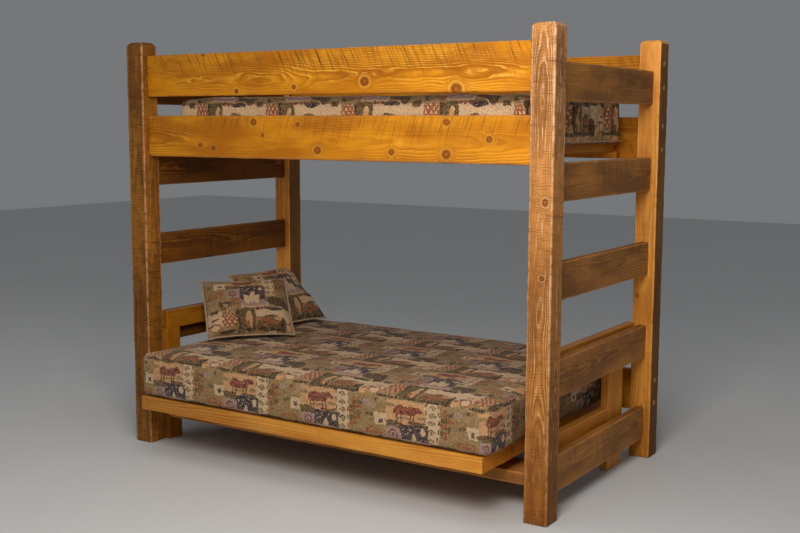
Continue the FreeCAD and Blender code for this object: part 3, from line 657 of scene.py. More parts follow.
guard_wood = wood(
    "guard_rail_wood", **HONEY, gain=(1.05, 1.06, 0.80), light_falloff=0.16, light_falloff_tint=(1.0, 1.0, 2.6),
    ring_gap=0.0048, wander=0.05, curl=0.016, bright_share=0.75, saw=0.85, saw_slant=0.42, saw_rate=120,
    saw_top=-0.005, saw_cover=0.62,
    knots=((-0.46, -0.078, 0.011), (-0.135, -0.063, 0.010), (0.237, -0.046, 0.017), (0.676, -0.082, 0.020)),
)
side_wood = wood(
    "side_rail_wood", **HONEY, gain=(1.05, 1.07, 1.05), light_falloff=0.12, light_falloff_tint=(1.0, 1.0, 3.0),
    ring_gap=0.0055, wander=0.04, curl=0.010, bright_share=0.35, saw=0.60, saw_slant=-0.38, saw_rate=120,
    saw_top=0.0, saw_cover=0.55, foot_wear_and_highlight=0.010,
    knots=(
        (-0.684, -0.038, 0.010), (-0.605, -0.051, 0.011), (-0.364, 0.067, 0.015), (-0.313, 0.009, 0.008),
        (-0.116, 0.057, 0.010), (-0.009, -0.053, 0.015), (0.371, -0.054, 0.012), (0.633, 0.068, 0.013),
        (0.633, -0.059, 0.017), (0.827, 0.002, 0.012),
    ),
)
rail_wood = wood("rail_wood", **HONEY, bright_share=0.3, saw=0.5, saw_slant=0.3)
right_post_wood = wood(
    "front_right_post_wood", **FRONT_RIGHT, gain=(1.12, 1.17, 1.20), light_falloff=0.32, light_falloff_tint=(1.0, 1.3, 2.1),
    ring_gap=0.0045, taper=0.02, wander=0.04, curl=0.010, bright_share=0.40, streak_and_glint_share=0.65, saw=0.6,
    saw_slant=0.10, saw_rate=75, arc_gap=0.0105, arc_share=0.42, worn_and_highlight_share=0.45, painted_side_light=0.85,
    knots=((0.297, 0.019, 0.012),), stray_knots=0.95,
)
left_post_wood = wood(
    "front_left_post_wood", **FRONT_LEFT, ring_gap=0.010, taper=0.02, wander=0.04, curl=0.010,
    bright_share=0.12, saw=0.5, saw_slant=0.16, saw_rate=62, arc_gap=0.0115, arc_share=0.70, worn_and_highlight_share=0.7,
    painted_side_light=1.5, side_knots=((-0.251, -0.003, 0.012),), stray_knots=0.95,
)
rear_post_wood = wood(
    "rear_post_wood", **REAR_POST, gain=(1.70, 1.72, 1.50), light_falloff=0.22, light_falloff_tint=(1.0, 1.1, 2.0),
    painted_side_light=0.30, ring_gap=0.006, taper=0.02, wander=0.04, curl=0.006, ring_share=0.35, bright_share=0.25,
    saw=0.25, saw_slant=0.12, relief=0.6, worn_and_highlight_share=0.5, stray_knots=0.93,
)
rung_wood = wood(
    "rung_wood", **RUNG, gain=(3.2, 3.0, 2.1), ring_gap=0.006, wander=0.04, curl=0.010, ring_share=0.38,
    bright_share=0.22, saw=0.5, saw_slant=0.12, saw_rate=85,
)
left_rung_wood = wood(
    "left_rung_wood", **LEFT_RUNG, gain=(1.15, 1.0, 0.4), ring_gap=0.006, wander=0.04, curl=0.010,
    bright_share=0.6, saw=0.5, saw_slant=0.12, saw_rate=85,
)
PLANED = dict(
    ring_gap=0.0075, wander=0.05, curl=0.006, ring_share=0.55, bright_share=0.25, saw=0.12, relief=0.35,
    rough=0.45, coat=0.15, worn_and_highlight_share=0.3,
)
pine_wood = wood("planed_pine", **PINE, **PLANED)
deck_wood = wood("deck_front_pine", **PINE, **PLANED, gain=(0.93, 0.97, 1.10), light_falloff=0.24)
# The planed pine darkened: painted shade on the left arm, in the shadow under the upper bunk.
left_arm_shaded_wood = wood("left_arm_pine", **PINE, **PLANED, gain=(0.60, 0.56, 0.25))


# ---------------------------------------------------------------- timber pieces
def add_board(name, axis, across, material, slot, seed, **shape):
    """Replaces one CAD board with a detailed one of the same box."""
    low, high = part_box(name)
    shell = timber(low, high, axis, seed, across=across, **shape)
    add_timber(name + "_timber", [name], [shell], material)


def add_slats(node, axis, across, material, slot, seed, **shape):
    """Replaces a CAD node of separate boards with detailed ones."""
    shells = [
        timber(low, high, axis, seed + k, across=across, tone=0.05 * math.sin(k * 2.4), **shape)
        for k, (low, high) in enumerate(solid_boxes(node))
    ]
    add_timber(node + "_boards", [node], shells, material)


FRONT_FACE = 2
SPLIT_SIZES = ("at", "width", "depth", "start", "stop")


def drying_splits(*splits):
    """Splits in a post's front face, each given by its sizes in the order of SPLIT_SIZES."""
    return [dict(zip(SPLIT_SIZES, sizes), side=FRONT_FACE) for sizes in splits]


POST_CHECKS = {
    "post_front_right": drying_splits((-0.030, 0.0016, 0.006, 1.58, 1.90)),
    "post_rear_right": drying_splits((0.006, 0.0040, 0.020, 1.36, 1.96), (0.034, 0.0020, 0.010, 0.70, 1.12)),
    "post_rear_left": drying_splits((-0.008, 0.0030, 0.016, 0.95, 1.50)),
}
POST_LOOKS = {
    "post_front_left": left_post_wood,
    "post_front_right": right_post_wood,
    "post_rear_left": rear_post_wood,
    "post_rear_right": rear_post_wood,
}
for k, (post, look) in enumerate(POST_LOOKS.items()):
    add_board(
        post, "z", "x", look, "post_wood", seed=11 + k, radius=0.0045, dent=0.0014, heart=(0.006, 0.004),
        stop_end=POST_TOP, start_end=EASED_END, splits=POST_CHECKS.get(post, ()),
    )
for side, look in (("left", left_rung_wood), ("right", rung_wood)):
    for k in range(1, 6):
        add_board(
            f"ladder_rung_{side}_{k}", "y", "z", look, "rung_wood",
            seed=20 + k + (10 if side == "right" else 0), radius=0.0035, heart=(0.01, -0.05),
        )
for rail, look, seed, radius, heart in (
    ("guard_rail_front", guard_wood, 41, 0.004, (-0.03, 0.06)),
    ("side_rail_front", side_wood, 42, 0.006, (-0.02, 0.07)),
):
    add_board(rail, "x", "z", look, "rail_wood", seed, radius=radius, heart=heart, step=0.010)
for k, rail in enumerate(("guard_rail_rear", "side_rail_rear", "lower_rail_rear")):
    add_board(rail, "x", "z", rail_wood, "rail_wood", 43 + k, radius=0.004, heart=(0.01, 0.06))
for k, cleat in enumerate(("slat_cleat_front", "slat_cleat_rear")):
    add_board(cleat, "x", "z", rail_wood, "rail_wood", 50 + k, radius=0.002, heart=(0.03, 0.03))
for deck, seed in (("upper_slats", 60), ("seat_slats", 110), ("back_slats", 130)):
    add_slats(deck, "y", "x", pine_wood, "planed_pine", seed, radius=0.002, heart=(0.02, -0.05))
for k, (side, look) in enumerate((("left", left_arm_shaded_wood), ("right", pine_wood))):
    for rail, axis, across, tint, seed, heart_a in (
        ("arm_top_rail", "y", "z", look, 80, 0.02), ("arm_lower_rail", "y", "z", look, 82, 0.02),
        ("arm_front_leg", "z", "y", look, 84, 0.01), ("arm_rear_leg", "z", "y", look, 86, 0.02),
        ("seat_side_rail", "y", "z", pine_wood, 92, 0.02), ("back_side_rail", "y", "z", pine_wood, 94, 0.02),
    ):
        add_board(f"{rail}_{side}", axis, across, tint, "planed_pine", seed + k, heart=(heart_a, 0.05))
add_board(
    "futon_stretcher_front", "x", "y", rung_wood, "rung_wood", 90, radius=0.004, heart=(0.02, 0.05), tone=0.25
)
add_board("futon_stretcher_rear", "x", "z", pine_wood, "planed_pine", 91, heart=(0.02, 0.05))
for k, rail in enumerate(("seat_front_rail", "seat_rear_rail", "back_fold_rail", "back_top_rail")):
    across, look = ("y", deck_wood) if rail == "seat_front_rail" else ("z", pine_wood)
    add_board(rail, "x", across, look, "planed_pine", 96 + k, heart=(0.015, 0.045), step=0.010)


# ---------------------------------------------------------------- hardware
def steel():
    """Zinc-plated steel with drawn streaks and dull patches."""
    net = Net("zinc_steel")
    place = net.own_place()
    x, y, z = net.split(place)
    cloud = net.noise(place, scale=60, detail=3)
    drawn = net.noise((x * 40, y * 900, z * 900), detail=2)
    body = net.mix(cloud, colour(150, 148, 142), colour(196, 192, 184))
    body = net.shade(body, 0.85 + drawn * 0.3)
    roughness = 0.34 + cloud * 0.2
    return net.surface(body, roughness, drawn * 0.00006, metallic=0.9)


def plug_end_grain():
    """Round wooden plugs: end grain rings, paler than the post around them."""
    net = Net("plug_end_grain")
    place = net.own_place()
    _, y, z = net.split(place)
    warp = net.noise(place, scale=40, detail=2) - 0.5
    ring = net.math("FRACT", (y * 0.8 + z * 0.6 + warp * 0.006) / 0.0024)
    pores = net.noise(place, scale=1500, detail=1)
    body = net.mix(net.ramp(ring, 0.2, 0.9), colour(206, 158, 104), colour(150, 98, 52))
    body = net.shade(body, 0.8 + pores * 0.4)
    return net.surface(body, 0.6, pores * 0.0002)


STEEL_NODES = (
    "rail_bolts", "barrel_nuts", "cleat_screws", "slat_screws", "stretcher_bolts", "hinge_leaves_seat",
    "hinge_leaves_back", "hinge_pins",
)
for look, nodes in ((steel(), STEEL_NODES), (plug_end_grain(), ("seat_guide_pegs", "bolt_plugs"))):
    for node in nodes:
        for holder in frame["nodes"][node].material_slots:
            holder.material = look


# ---------------------------------------------------------------- tapestry
FUTON_REPEAT = (0.434, 0.420)
UPPER_REPEAT = (0.420, 0.420)
TAN = colour(170, 138, 98)
CREAM = colour(222, 188, 146)
PEACH = colour(216, 160, 110)
BURGUNDY = colour(112, 32, 34)
NAVY = colour(40, 34, 58)
OLIVE = colour(88, 70, 38)
DARK_OLIVE = colour(56, 42, 24)
BROWN = colour(68, 44, 30)
RUST = colour(158, 80, 46)
LILAC = colour(170, 138, 128)
KHAKI = colour(152, 122, 76)


def shape_maker(kind):
    """A function that notes a shape of one kind, from numbers in percent of the tile's side."""
    return lambda *place: (kind, *(number / 100 for number in place))


box = shape_maker("box")
disc = shape_maker("disc")
ring = shape_maker("ring")

# Each layer is a colour and its shapes. A box is (left, right, bottom, top), a disc is (across, up,
# half width, half height), and a ring is a disc with a hollow middle.
LAYERS = (
    (KHAKI, box(84, 100, 56, 100), box(0, 24, 50, 86), box(0, 4, 20, 100)),
    (CREAM, box(68, 84, 58, 100), box(42, 74, 37, 44), disc(86, 24, 20, 13)),
    (CREAM, box(13, 26, 71, 83), disc(8, 12, 10, 9), box(57, 100, 20, 33.5)),
    (CREAM, box(0, 18, 17, 33.5)),
    (PEACH, box(26, 68, 72, 98.5), disc(97, 6, 8, 7)),
    (OLIVE, box(26, 68, 69, 74.5), disc(34, 75, 10, 2.2), disc(60, 76.5, 10, 1.8)),
    (KHAKI, disc(46, 80, 10, 1.2), disc(30, 92, 5, 2), disc(64, 83, 5, 2)),
    (OLIVE, box(35.3, 56.9, -1, 35.3), disc(76, 0, 18.5, 23.5)),
    (RUST, disc(70, 15, 9, 3.5), disc(80, 11, 8, 3), disc(66, 7, 6, 2)),
    (DARK_OLIVE, disc(91.2, 9, 3, 11), disc(88, 6, 2.5, 7), box(60, 90, 0, 3)),
    (DARK_OLIVE, box(35.3, 38.5, 0, 35.3), disc(50, 3, 7, 3), disc(24, 2, 10, 2.2)),
    (BROWN, disc(85, 48, 12, 8.5), disc(95, 42, 6.5, 10), box(5, 14.5, 30, 38)),
    (DARK_OLIVE, disc(80, 33.5, 10, 3.5), disc(19, 45, 2.5, 5), ring(24, 43, 5, 5)),
    (DARK_OLIVE, disc(27, 47.5, 4.5, 1.8), disc(21, 38.5, 3, 2), disc(93, 53, 5, 3)),
    (NAVY, box(73.5, 86.5, 31, 34.5), box(17.3, 21.6, 73.5, 78)),
    (LILAC, box(26.7, 42.5, 54, 70), box(44, 72, 38.5, 44)),
    (NAVY, box(42.5, 72, 44, 74.8)),
    (LILAC, disc(45.5, 46.5, 5, 3.5), disc(66, 47, 7, 4), disc(56, 45, 6, 3)),
    (CREAM, disc(66.4, 69, 3, 3.4), disc(50.5, 50, 3.5, 6.5), disc(56, 55.5, 2.6, 10.5)),
    (CREAM, disc(60.5, 51, 3, 7), disc(48, 54.5, 1.5, 3.5), disc(63.5, 55, 1.4, 3.5)),
    (CREAM, disc(45.5, 70, 0.9, 1), disc(50, 66.5, 0.8, 0.9), disc(47, 64.5, 0.8, 0.9)),
    (CREAM, disc(60, 71.5, 0.8, 0.9), disc(53, 70, 0.8, 0.9), disc(50.5, 27.5, 2.6, 3)),
    (PEACH, disc(49, 17, 3.4, 11.5), disc(51.5, 12, 2.2, 8), disc(84, 17.5, 5, 3)),
    (BURGUNDY, ring(34.5, 62, 4.8, 5), disc(34.5, 62, 1.4, 1.6), box(12.5, 16, 93, 97)),
    (BURGUNDY, disc(59.5, 34.5, 2.2, 2.2), disc(65, 34.5, 2.2, 2.2), disc(70.5, 34.5, 2.2, 2.2)),
    (RUST, ring(12.5, 61.5, 10, 5), disc(12.5, 61.5, 5.5, 1.6), ring(9, 9, 7.5, 6.5)),
    (RUST, disc(90, 90, 2.2, 5.5), disc(94, 84, 5, 1.8), disc(88, 79, 4.5, 1.8)),
    (RUST, disc(93, 73, 5, 1.7), disc(89, 67, 4, 1.6), disc(48.5, 9, 2, 5)),
    (OLIVE, disc(91, 80, 0.8, 13), disc(86.5, 84, 3, 2.6), disc(95.5, 77, 2.6, 3)),
    (OLIVE, disc(95.5, 90, 3, 2.4), disc(87, 72, 2.2, 3), disc(8, 80, 5, 1.6)),
    (BURGUNDY, disc(3, 14, 4.5, 1.4), disc(9, 20.5, 5, 1.2), disc(98, 10, 3, 1.2)),
    (LILAC, disc(2, 92, 6, 3.5), disc(6, 55, 4, 1.6)),
    # a plain four-legged animal
    (BURGUNDY, disc(46.5, 87.5, 10.5, 4.4), disc(40.5, 88.5, 5.5, 5.2), disc(54, 89, 5, 5)),
    (BURGUNDY, disc(60, 91.5, 4.5, 2.6), disc(63.5, 90, 2.6, 1.8), disc(35.5, 87, 1, 3.2)),
    (BURGUNDY, box(37, 38.6, 74.5, 87), box(41.2, 42.6, 75.5, 87), box(52.2, 53.7, 75, 87)),
    (BURGUNDY, box(55.6, 57, 74.2, 87)),
    (RUST, disc(45.5, 89.5, 6, 1.4), disc(53, 91.5, 3, 1.2), disc(39.2, 86, 1.6, 3)),
)


def tapestry(name, repeat, shift=(0.0, 0.0), brightness=1.0):
    """Woven patchwork cloth: a repeating tile of plain motifs in mixed threads, with weave and slubs."""
    net = Net(name)
    place = Value(net, net.add("ShaderNodeUVMap", uv_map="cloth").outputs[0])
    x, y, _ = net.split(place)
    dots = net.join(x, y)
    hand_x = net.noise(dots, scale=70, detail=3, roughness=0.65) - 0.5
    hand_y = net.noise((x + 3.0, y + 5.0), scale=70, detail=3, roughness=0.65) - 0.5
    drift_x = net.noise((x + 1.0, y), scale=17, detail=2) - 0.5
    drift_y = net.noise((x + 8.0, y + 2.0), scale=17, detail=2) - 0.5
    s = net.math("FRACT", (x + shift[0] + hand_x * 0.014 + drift_x * 0.030) / repeat[0] + 40.0)
    t = net.math("FRACT", (y + shift[1] + hand_y * 0.014 + drift_y * 0.030) / repeat[1] + 40.0)

    def oval(left, bottom, wide, tall):
        across = (s - left) / wide
        up = (t - bottom) / tall
        return across * across + up * up

    def mask(shape, a, b, c, d):
        if shape == "box":
            return (s > a) * (s < b) * (t > c) * (t < d)
        size = oval(a, b, c, d)
        if shape == "disc":
            return size < 1.0
        return (size < 1.0) * (size > 0.5)

    cloud = net.noise(dots, scale=22, detail=3)
    thread = net.noise((x * 260, y * 700), detail=2)
    fleck = net.noise(dots, scale=330, detail=2)
    cloth = net.mix(net.ramp(cloud, 0.40, 0.60), TAN, KHAKI)
    for tint, *shapes in LAYERS:
        share = net.most([mask(*shape) for shape in shapes])
        cloth = net.mix(share * (0.74 + thread * 0.4), cloth, tint)

    # quilt column: diamonds and small ovals one above another
    cell = net.math("FRACT", t * 12.0)
    column = (s > 0.685) * (s < 0.835) * (t > 0.58)
    centre = abs((s - 0.76) / 0.065) + abs((cell - 0.5) * 1.9)
    cloth = net.mix(column * (centre < 0.66) * (centre > 0.40), cloth, BROWN)
    cloth = net.mix(column * (centre < 0.22), cloth, BURGUNDY)
    cloth = net.mix(column * net.ramp(abs(s - 0.76), 0.058, 0.066) * (cell > 0.4), cloth, OLIVE)

    # scales: offset rows of rust and cream
    row = net.math("FLOOR", t * 22.0)
    wave = net.math("FRACT", s * 19.0 + row * 0.5)
    rise = net.math("FRACT", t * 22.0)
    scale_patch = oval(0.265, 0.21, 0.092, 0.145) < 1.0
    cloth = net.mix(scale_patch, cloth, CREAM)
    cloth = net.mix(scale_patch * (abs(wave - 0.5) * 1.5 + rise * 0.5 > 0.44), cloth, RUST)

    # zigzag bands beside the night panel
    zig = abs(net.math("FRACT", s * 9.0) - 0.5) * 0.08
    for low, tint in ((0.385, RUST), (0.425, BURGUNDY), (0.465, RUST), (0.505, BURGUNDY)):
        band = (t > zig + low) * (t < zig + (low + 0.020))
        cloth = net.mix(band * (s > 0.30) * (s < 0.425), cloth, tint)

    # sketched outlines, dark and pale
    sketch = net.noise(dots, scale=85, detail=2, roughness=0.6)
    cloth = net.mix(net.ramp(abs(sketch - 0.5), 0.030, 0.006) * 0.55, cloth, BROWN)
    pale_sketch = net.noise((x + 4.0, y + 1.0), scale=70, detail=2, roughness=0.6)
    cloth = net.mix(net.ramp(abs(pale_sketch - 0.52), 0.026, 0.006) * 0.50, cloth, CREAM)

    # mixed threads and worn patches
    blotch = net.noise(dots, scale=110, detail=3)
    cloth = net.mix(net.ramp(blotch, 0.54, 0.68) * 0.34, cloth, DARK_OLIVE)
    cloth = net.mix(net.ramp(blotch, 0.44, 0.32) * 0.22, cloth, CREAM)
    # brightness paints light and shade onto this copy of the cloth.
    cloth = net.shade(cloth, (0.62 + thread * 0.44 + fleck * 0.32) * brightness)
    warp = net.math("SINE", x * (2 * math.pi / 0.0021))
    weft = net.math("SINE", y * (2 * math.pi / 0.0016))
    height = warp * weft * 0.00012 + thread * 0.0003
    return net.surface(cloth, 0.95, height, Specular_IOR_Level=0.10, Sheen_Weight=0.06, Sheen_Roughness=0.6)


# One cloth in three copies: brightness is painted shade on the futon and pillows under the upper bunk, and
# painted light on the upper mattress.
futon_cloth = tapestry("futon_tapestry", FUTON_REPEAT, shift=(0.0757, 0.2762), brightness=0.90)
upper_cloth = tapestry("upper_tapestry", UPPER_REPEAT, shift=(0.0258, 0.1442), brightness=1.12)
pillow_cloth = tapestry("pillow_tapestry", FUTON_REPEAT, brightness=0.86)


def cord_cloth():
    """The pale twisted cord sewn round the cushions."""
    net = Net("seam_cord")
    place = net.own_place()
    x, y, z = net.split(place)
    twist = net.math("SINE", (x + y + z) * 1500.0)
    cloud = net.noise(place, scale=90, detail=2)
    body = net.mix(cloud, colour(176, 142, 104), colour(214, 184, 142))
    body = net.shade(body, 0.85 + twist * 0.12)
    return net.surface(body, 0.9, twist * 0.0003, Sheen_Weight=0.1)


piping_cloth = cord_cloth()


# ---------------------------------------------------------------- soft shapes
SWELL_FRAMES = 20
SQUARE = ((0, 0), (1, 0), (1, 1), (0, 1))


def lattice_shell(counts):
    """Grid points over the six sides of a box as whole numbers, with faces and the side each face is on."""
    index, points, faces, sides = {}, [], [], []

    def corner(i, j, k):
        key = (i, j, k)
        if key not in index:
            index[key] = len(points)
            points.append(key)
        return index[key]

    for axis in range(3):
        first, second = [n for n in range(3) if n != axis]
        for end in (0, counts[axis]):
            for i in range(counts[first]):
                for j in range(counts[second]):
                    quad = []
                    for di, dj in SQUARE:
                        place = [end] * 3
                        place[first] = i + di
                        place[second] = j + dj
                        quad.append(corner(*place))
                    faces.append(quad)
                    sides.append((axis, 1 if end else -1))
    return np.array(points, float), faces, sides


def outline_distance(x, y, half_x, half_y, radius):
    """Signed distance from a rounded rectangle, and the outward direction there."""
    qx, qy = np.abs(x) - (half_x - radius), np.abs(y) - (half_y - radius)
    outside = np.hypot(np.maximum(qx, 0), np.maximum(qy, 0))
    distance = outside + np.minimum(np.maximum(qx, qy), 0) - radius
    corner = (qx > 0) & (qy > 0)
    nx = np.where(corner, qx / np.maximum(outside, 1e-9), (qx >= qy) * 1.0) * np.sign(x)
    ny = np.where(corner, qy / np.maximum(outside, 1e-9), (qx < qy) * 1.0) * np.sign(y)
    return distance, nx, ny


def mattress_shell(low, high, plan_radius, top_radius, bottom_radius, step):
    """A box mattress: round corners in plan, eased top and bottom edges, and cloth places for its panels."""
    low, high = np.array(low), np.array(high)
    size = high - low
    counts = [max(4, round(size[k] / step)) for k in range(3)]
    lattice, faces, sides = lattice_shell(counts)
    flat = low + size * lattice / counts
    middle = (low + high) / 2
    half = size / 2
    p = flat - middle

    # square plan corners to round ones
    vx = np.maximum(np.abs(p[:, 0]) - (half[0] - plan_radius), 0)
    vy = np.maximum(np.abs(p[:, 1]) - (half[1] - plan_radius), 0)
    length = np.hypot(vx, vy)
    share = np.where(length > 0, np.maximum(vx, vy) / np.maximum(length, 1e-9), 1)
    x = p[:, 0] - np.sign(p[:, 0]) * vx * (1 - share)
    y = p[:, 1] - np.sign(p[:, 1]) * vy * (1 - share)
    z = p[:, 2].copy()

    distance, nx, ny = outline_distance(x, y, half[0], half[1], plan_radius)
    for way, radius in ((1, top_radius), (-1, bottom_radius)):
        depth = half[2] - way * z
        on_panel = np.isclose(depth, 0, atol=1e-6)
        near_panel = on_panel & (distance > -radius)
        near_side = ~on_panel & (depth < radius)
        angle = np.where(
            near_panel,
            math.pi / 4 * (1 + np.clip(-distance / radius, 0, 1)),
            math.pi / 4 * (1 - depth / radius),
        )
        shrink = np.where(near_panel, radius + distance, 0)
        moved = near_panel | near_side
        outward = np.where(moved, radius * np.cos(angle) - np.where(near_panel, shrink, radius), 0)
        x = x + nx * outward
        y = y + ny * outward
        z = np.where(moved, way * (half[2] - radius + radius * np.sin(angle)), z)
    points = np.stack([x, y, z], 1) + middle

    cloth = []
    for quad, (axis, way) in zip(faces, sides):
        for v in quad:
            px, py, pz = flat[v]
            drop = high[2] - pz
            if axis == 2:
                cloth.append((px, py if way > 0 else py + 1.0))
            elif axis == 1:
                cloth.append((px, low[1] - drop if way < 0 else high[1] + drop))
            else:
                cloth.append((high[0] + py - low[1] if way > 0 else low[0] - py + low[1], low[1] - drop))
    return points, faces, cloth


def soft_object(name, points, faces, cloth, material):
    """A mesh object with its cloth places as a UV layer in metres."""
    mesh = bpy.data.meshes.new(name)
    mesh.from_pydata(np.asarray(points).tolist(), [], faces)
    layer = mesh.uv_layers.new(name="cloth")
    layer.data.foreach_set("uv", np.array(cloth, np.float32).ravel())
    return place_mesh(name, mesh, material)


def mesh_points(piece):
    """The places of a piece's vertices."""
    return np.array([v.co for v in piece.data.vertices])


def set_points(piece, points):
    """Moves a piece's vertices to new places."""
    piece.data.vertices.foreach_set("co", np.asarray(points, np.float32).ravel())
    piece.data.update()


def inflate(piece, cap, pinned=None, pressure=4.0, stiffness=12.0, bend=0.8):
    """Swells a closed piece as cloth under pressure. No point moves further than cap; pinned points stay."""
    before = mesh_points(piece)
    if pinned is not None:
        group = piece.vertex_groups.new(name="pinned")
        group.add([int(k) for k in np.nonzero(pinned)[0]], 1.0, "REPLACE")
    modifier = piece.modifiers.new("swell", "CLOTH")
    settings = modifier.settings
    for key, value in {
        "quality": 5,
        "mass": 0.3,
        "tension_stiffness": stiffness,
        "compression_stiffness": stiffness,
        "shear_stiffness": stiffness / 2,
        "bending_stiffness": bend,
        "use_pressure": True,
        "uniform_pressure_force": pressure,
    }.items():
        setattr(settings, key, value)
    settings.effector_weights.gravity = 0.0
    if pinned is not None:
        settings.vertex_group_mass = "pinned"
    modifier.point_cache.frame_start = 1
    modifier.point_cache.frame_end = SWELL_FRAMES
    scene = bpy.context.scene
    for number in range(1, SWELL_FRAMES + 1):
        scene.frame_set(number)
    graph = bpy.context.evaluated_depsgraph_get()
    swollen = piece.evaluated_get(graph)
    after = np.array([v.co for v in swollen.data.vertices])
    piece.modifiers.clear()
    move = after - before
    length = np.linalg.norm(move, axis=1, keepdims=True)
    move *= np.minimum(1.0, cap / np.maximum(length, 1e-9))
    set_points(piece, before + move)
    scene.frame_set(1)


def smooth_once(piece):
    """One level of subdivision, applied."""
    modifier = piece.modifiers.new("smooth", "SUBSURF")
    modifier.levels = 1
    modifier.render_levels = 1
    graph = bpy.context.evaluated_depsgraph_get()
    made = bpy.data.meshes.new_from_object(piece.evaluated_get(graph))
    piece.modifiers.clear()
    piece.data = made


def normals_of(piece):
    """The outward direction at each of a piece's vertices."""
    return np.array([v.normal for v in piece.data.vertices])


def tube(name, line, radius, material, sides=8):
    """A closed loop of cord along a line of points."""
    line = np.array(line)
    count = len(line)
    ahead = np.roll(line, -1, 0) - np.roll(line, 1, 0)
    ahead /= np.linalg.norm(ahead, axis=1, keepdims=True)
    middle = line.mean(0)
    outward = line - middle
    outward -= ahead * np.sum(outward * ahead, 1, keepdims=True)
    outward /= np.linalg.norm(outward, axis=1, keepdims=True)
    upward = np.cross(ahead, outward)
    points = []
    for k in range(sides):
        angle = 2 * math.pi * k / sides
        points.append(line + radius * (outward * math.cos(angle) + upward * math.sin(angle)))
    points = np.stack(points, 1).reshape(-1, 3)
    faces = []
    for i in range(count):
        j = (i + 1) % count
        for k in range(sides):
            m = (k + 1) % sides
            faces.append([i * sides + k, j * sides + k, j * sides + m, i * sides + m])
    mesh = bpy.data.meshes.new(name)
    mesh.from_pydata(points.tolist(), [], faces)
    return place_mesh(name, mesh, material)


# ---------------------------------------------------------------- mattresses
SWELL = 0.010
BOTTOM_RADIUS = 0.020
MATTRESS_STEP = 0.020
HEM_INSET = 0.003


def make_mattress(name, nodes, material, plan_radius, top_radius, waves):
    """A box mattress swollen as cloth, with soft waves that die away towards its underside.

    waves holds two (height, length) pairs, the least and most move, and a seed.
    """
    boxes = [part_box(node) for node in nodes]
    low = np.min([box[0] for box in boxes], 0) + (SWELL, SWELL, 0.0)
    high = np.max([box[1] for box in boxes], 0) - (SWELL, SWELL, SWELL * 0.6)
    points, faces, cloth = mattress_shell(low, high, plan_radius, top_radius, BOTTOM_RADIUS, MATTRESS_STEP)
    piece = soft_object(name, points, faces, cloth, material)
    inflate(piece, SWELL, pinned=mesh_points(piece)[:, 2] < low[2] + 0.004)
    smooth_once(piece)
    points = mesh_points(piece)
    rise = np.clip((points[:, 2] - low[2]) / (high[2] - low[2]), 0, 1)
    (large, large_length), (small, small_length), least, most, seed = waves
    move = large * ripple(points * (1, 1, 0.3), large_length, seed)
    move += small * ripple(points, small_length, seed + 1)
    points += normals_of(piece) * (np.clip(move, least, most) * rise)[:, None]
    set_points(piece, points)
    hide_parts(*nodes)
    return piece, low, high, rise


def make_futon_mattress():
    """One futon mattress over both decks."""
    seat, back = "mattress_seat_half", "mattress_back_half"
    waves = ((0.0030, 0.30), (0.0012, 0.09), -0.006, 0.004, 5)
    piece, low, _, _ = make_mattress("futon_mattress", (seat, back), futon_cloth, 0.034, 0.034, waves)
    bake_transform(piece)


def hem_line(low, high, corner_radius, height):
    """Points round a rounded rectangle in plan, just inside the cover's side."""
    turns = 9
    reach = corner_radius - HEM_INSET
    line = []
    for corner, (sign_x, sign_y) in enumerate(CORNER_SIGNS):
        centre_x = (high[0] - corner_radius) if sign_x > 0 else (low[0] + corner_radius)
        centre_y = (high[1] - corner_radius) if sign_y > 0 else (low[1] + corner_radius)
        for k in range(turns):
            angle = math.radians(90 * (corner + k / (turns - 1)))
            line.append((centre_x + reach * math.cos(angle), centre_y + reach * math.sin(angle), height))
    dense = []
    for start, stop in zip(line, line[1:] + line[:1]):
        count = max(1, round(math.dist(start, stop) / 0.02))
        dense += [tuple(a + (b - a) * k / count for a, b in zip(start, stop)) for k in range(count)]
    return dense


def make_upper_mattress():
    """The upper mattress: a plain box with its cover gathered at the right end."""
    name = "upper_mattress_cover"
    waves = ((0.0025, 0.25), (0.0010, 0.08), -0.005, 0.003, 15)
    piece, low, high, rise = make_mattress(name, ("mattress_upper",), upper_cloth, 0.032, 0.028, waves)
    points = mesh_points(piece)
    gather = np.clip((points[:, 0] - (high[0] - 0.06)) / 0.06, 0, 1) * np.clip(rise * 4, 0, 1)
    folds = ripple(points * (0, 1, 0.10), 0.085, 17) + 0.6 * ripple(points * (0, 1, 0.35), 0.040, 18)
    points[:, 0] -= gather * np.clip(0.5 + 0.5 * folds, 0, 1) ** 1.5 * 0.030
    points[:, 1] += gather * 0.006 * ripple(points * (0, 0.6, 1), 0.09, 19)
    set_points(piece, points)
    hem = tube("upper_mattress_hem", hem_line(low, high, 0.032, low[2] + 0.010), 0.0032, piping_cloth)
    for part in (piece, hem):
        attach(part, "upper_mattress")


make_futon_mattress()
make_upper_mattress()


# ---------------------------------------------------------------- pillows
PILLOW_WIDTH = 0.450
PILLOW_THICKNESS = 0.130
PILLOW_CLOTH_HEIGHT = 0.430
PIPING = 0.0042
SIDE_PULL = 0.022
TOP_PULL = 0.026


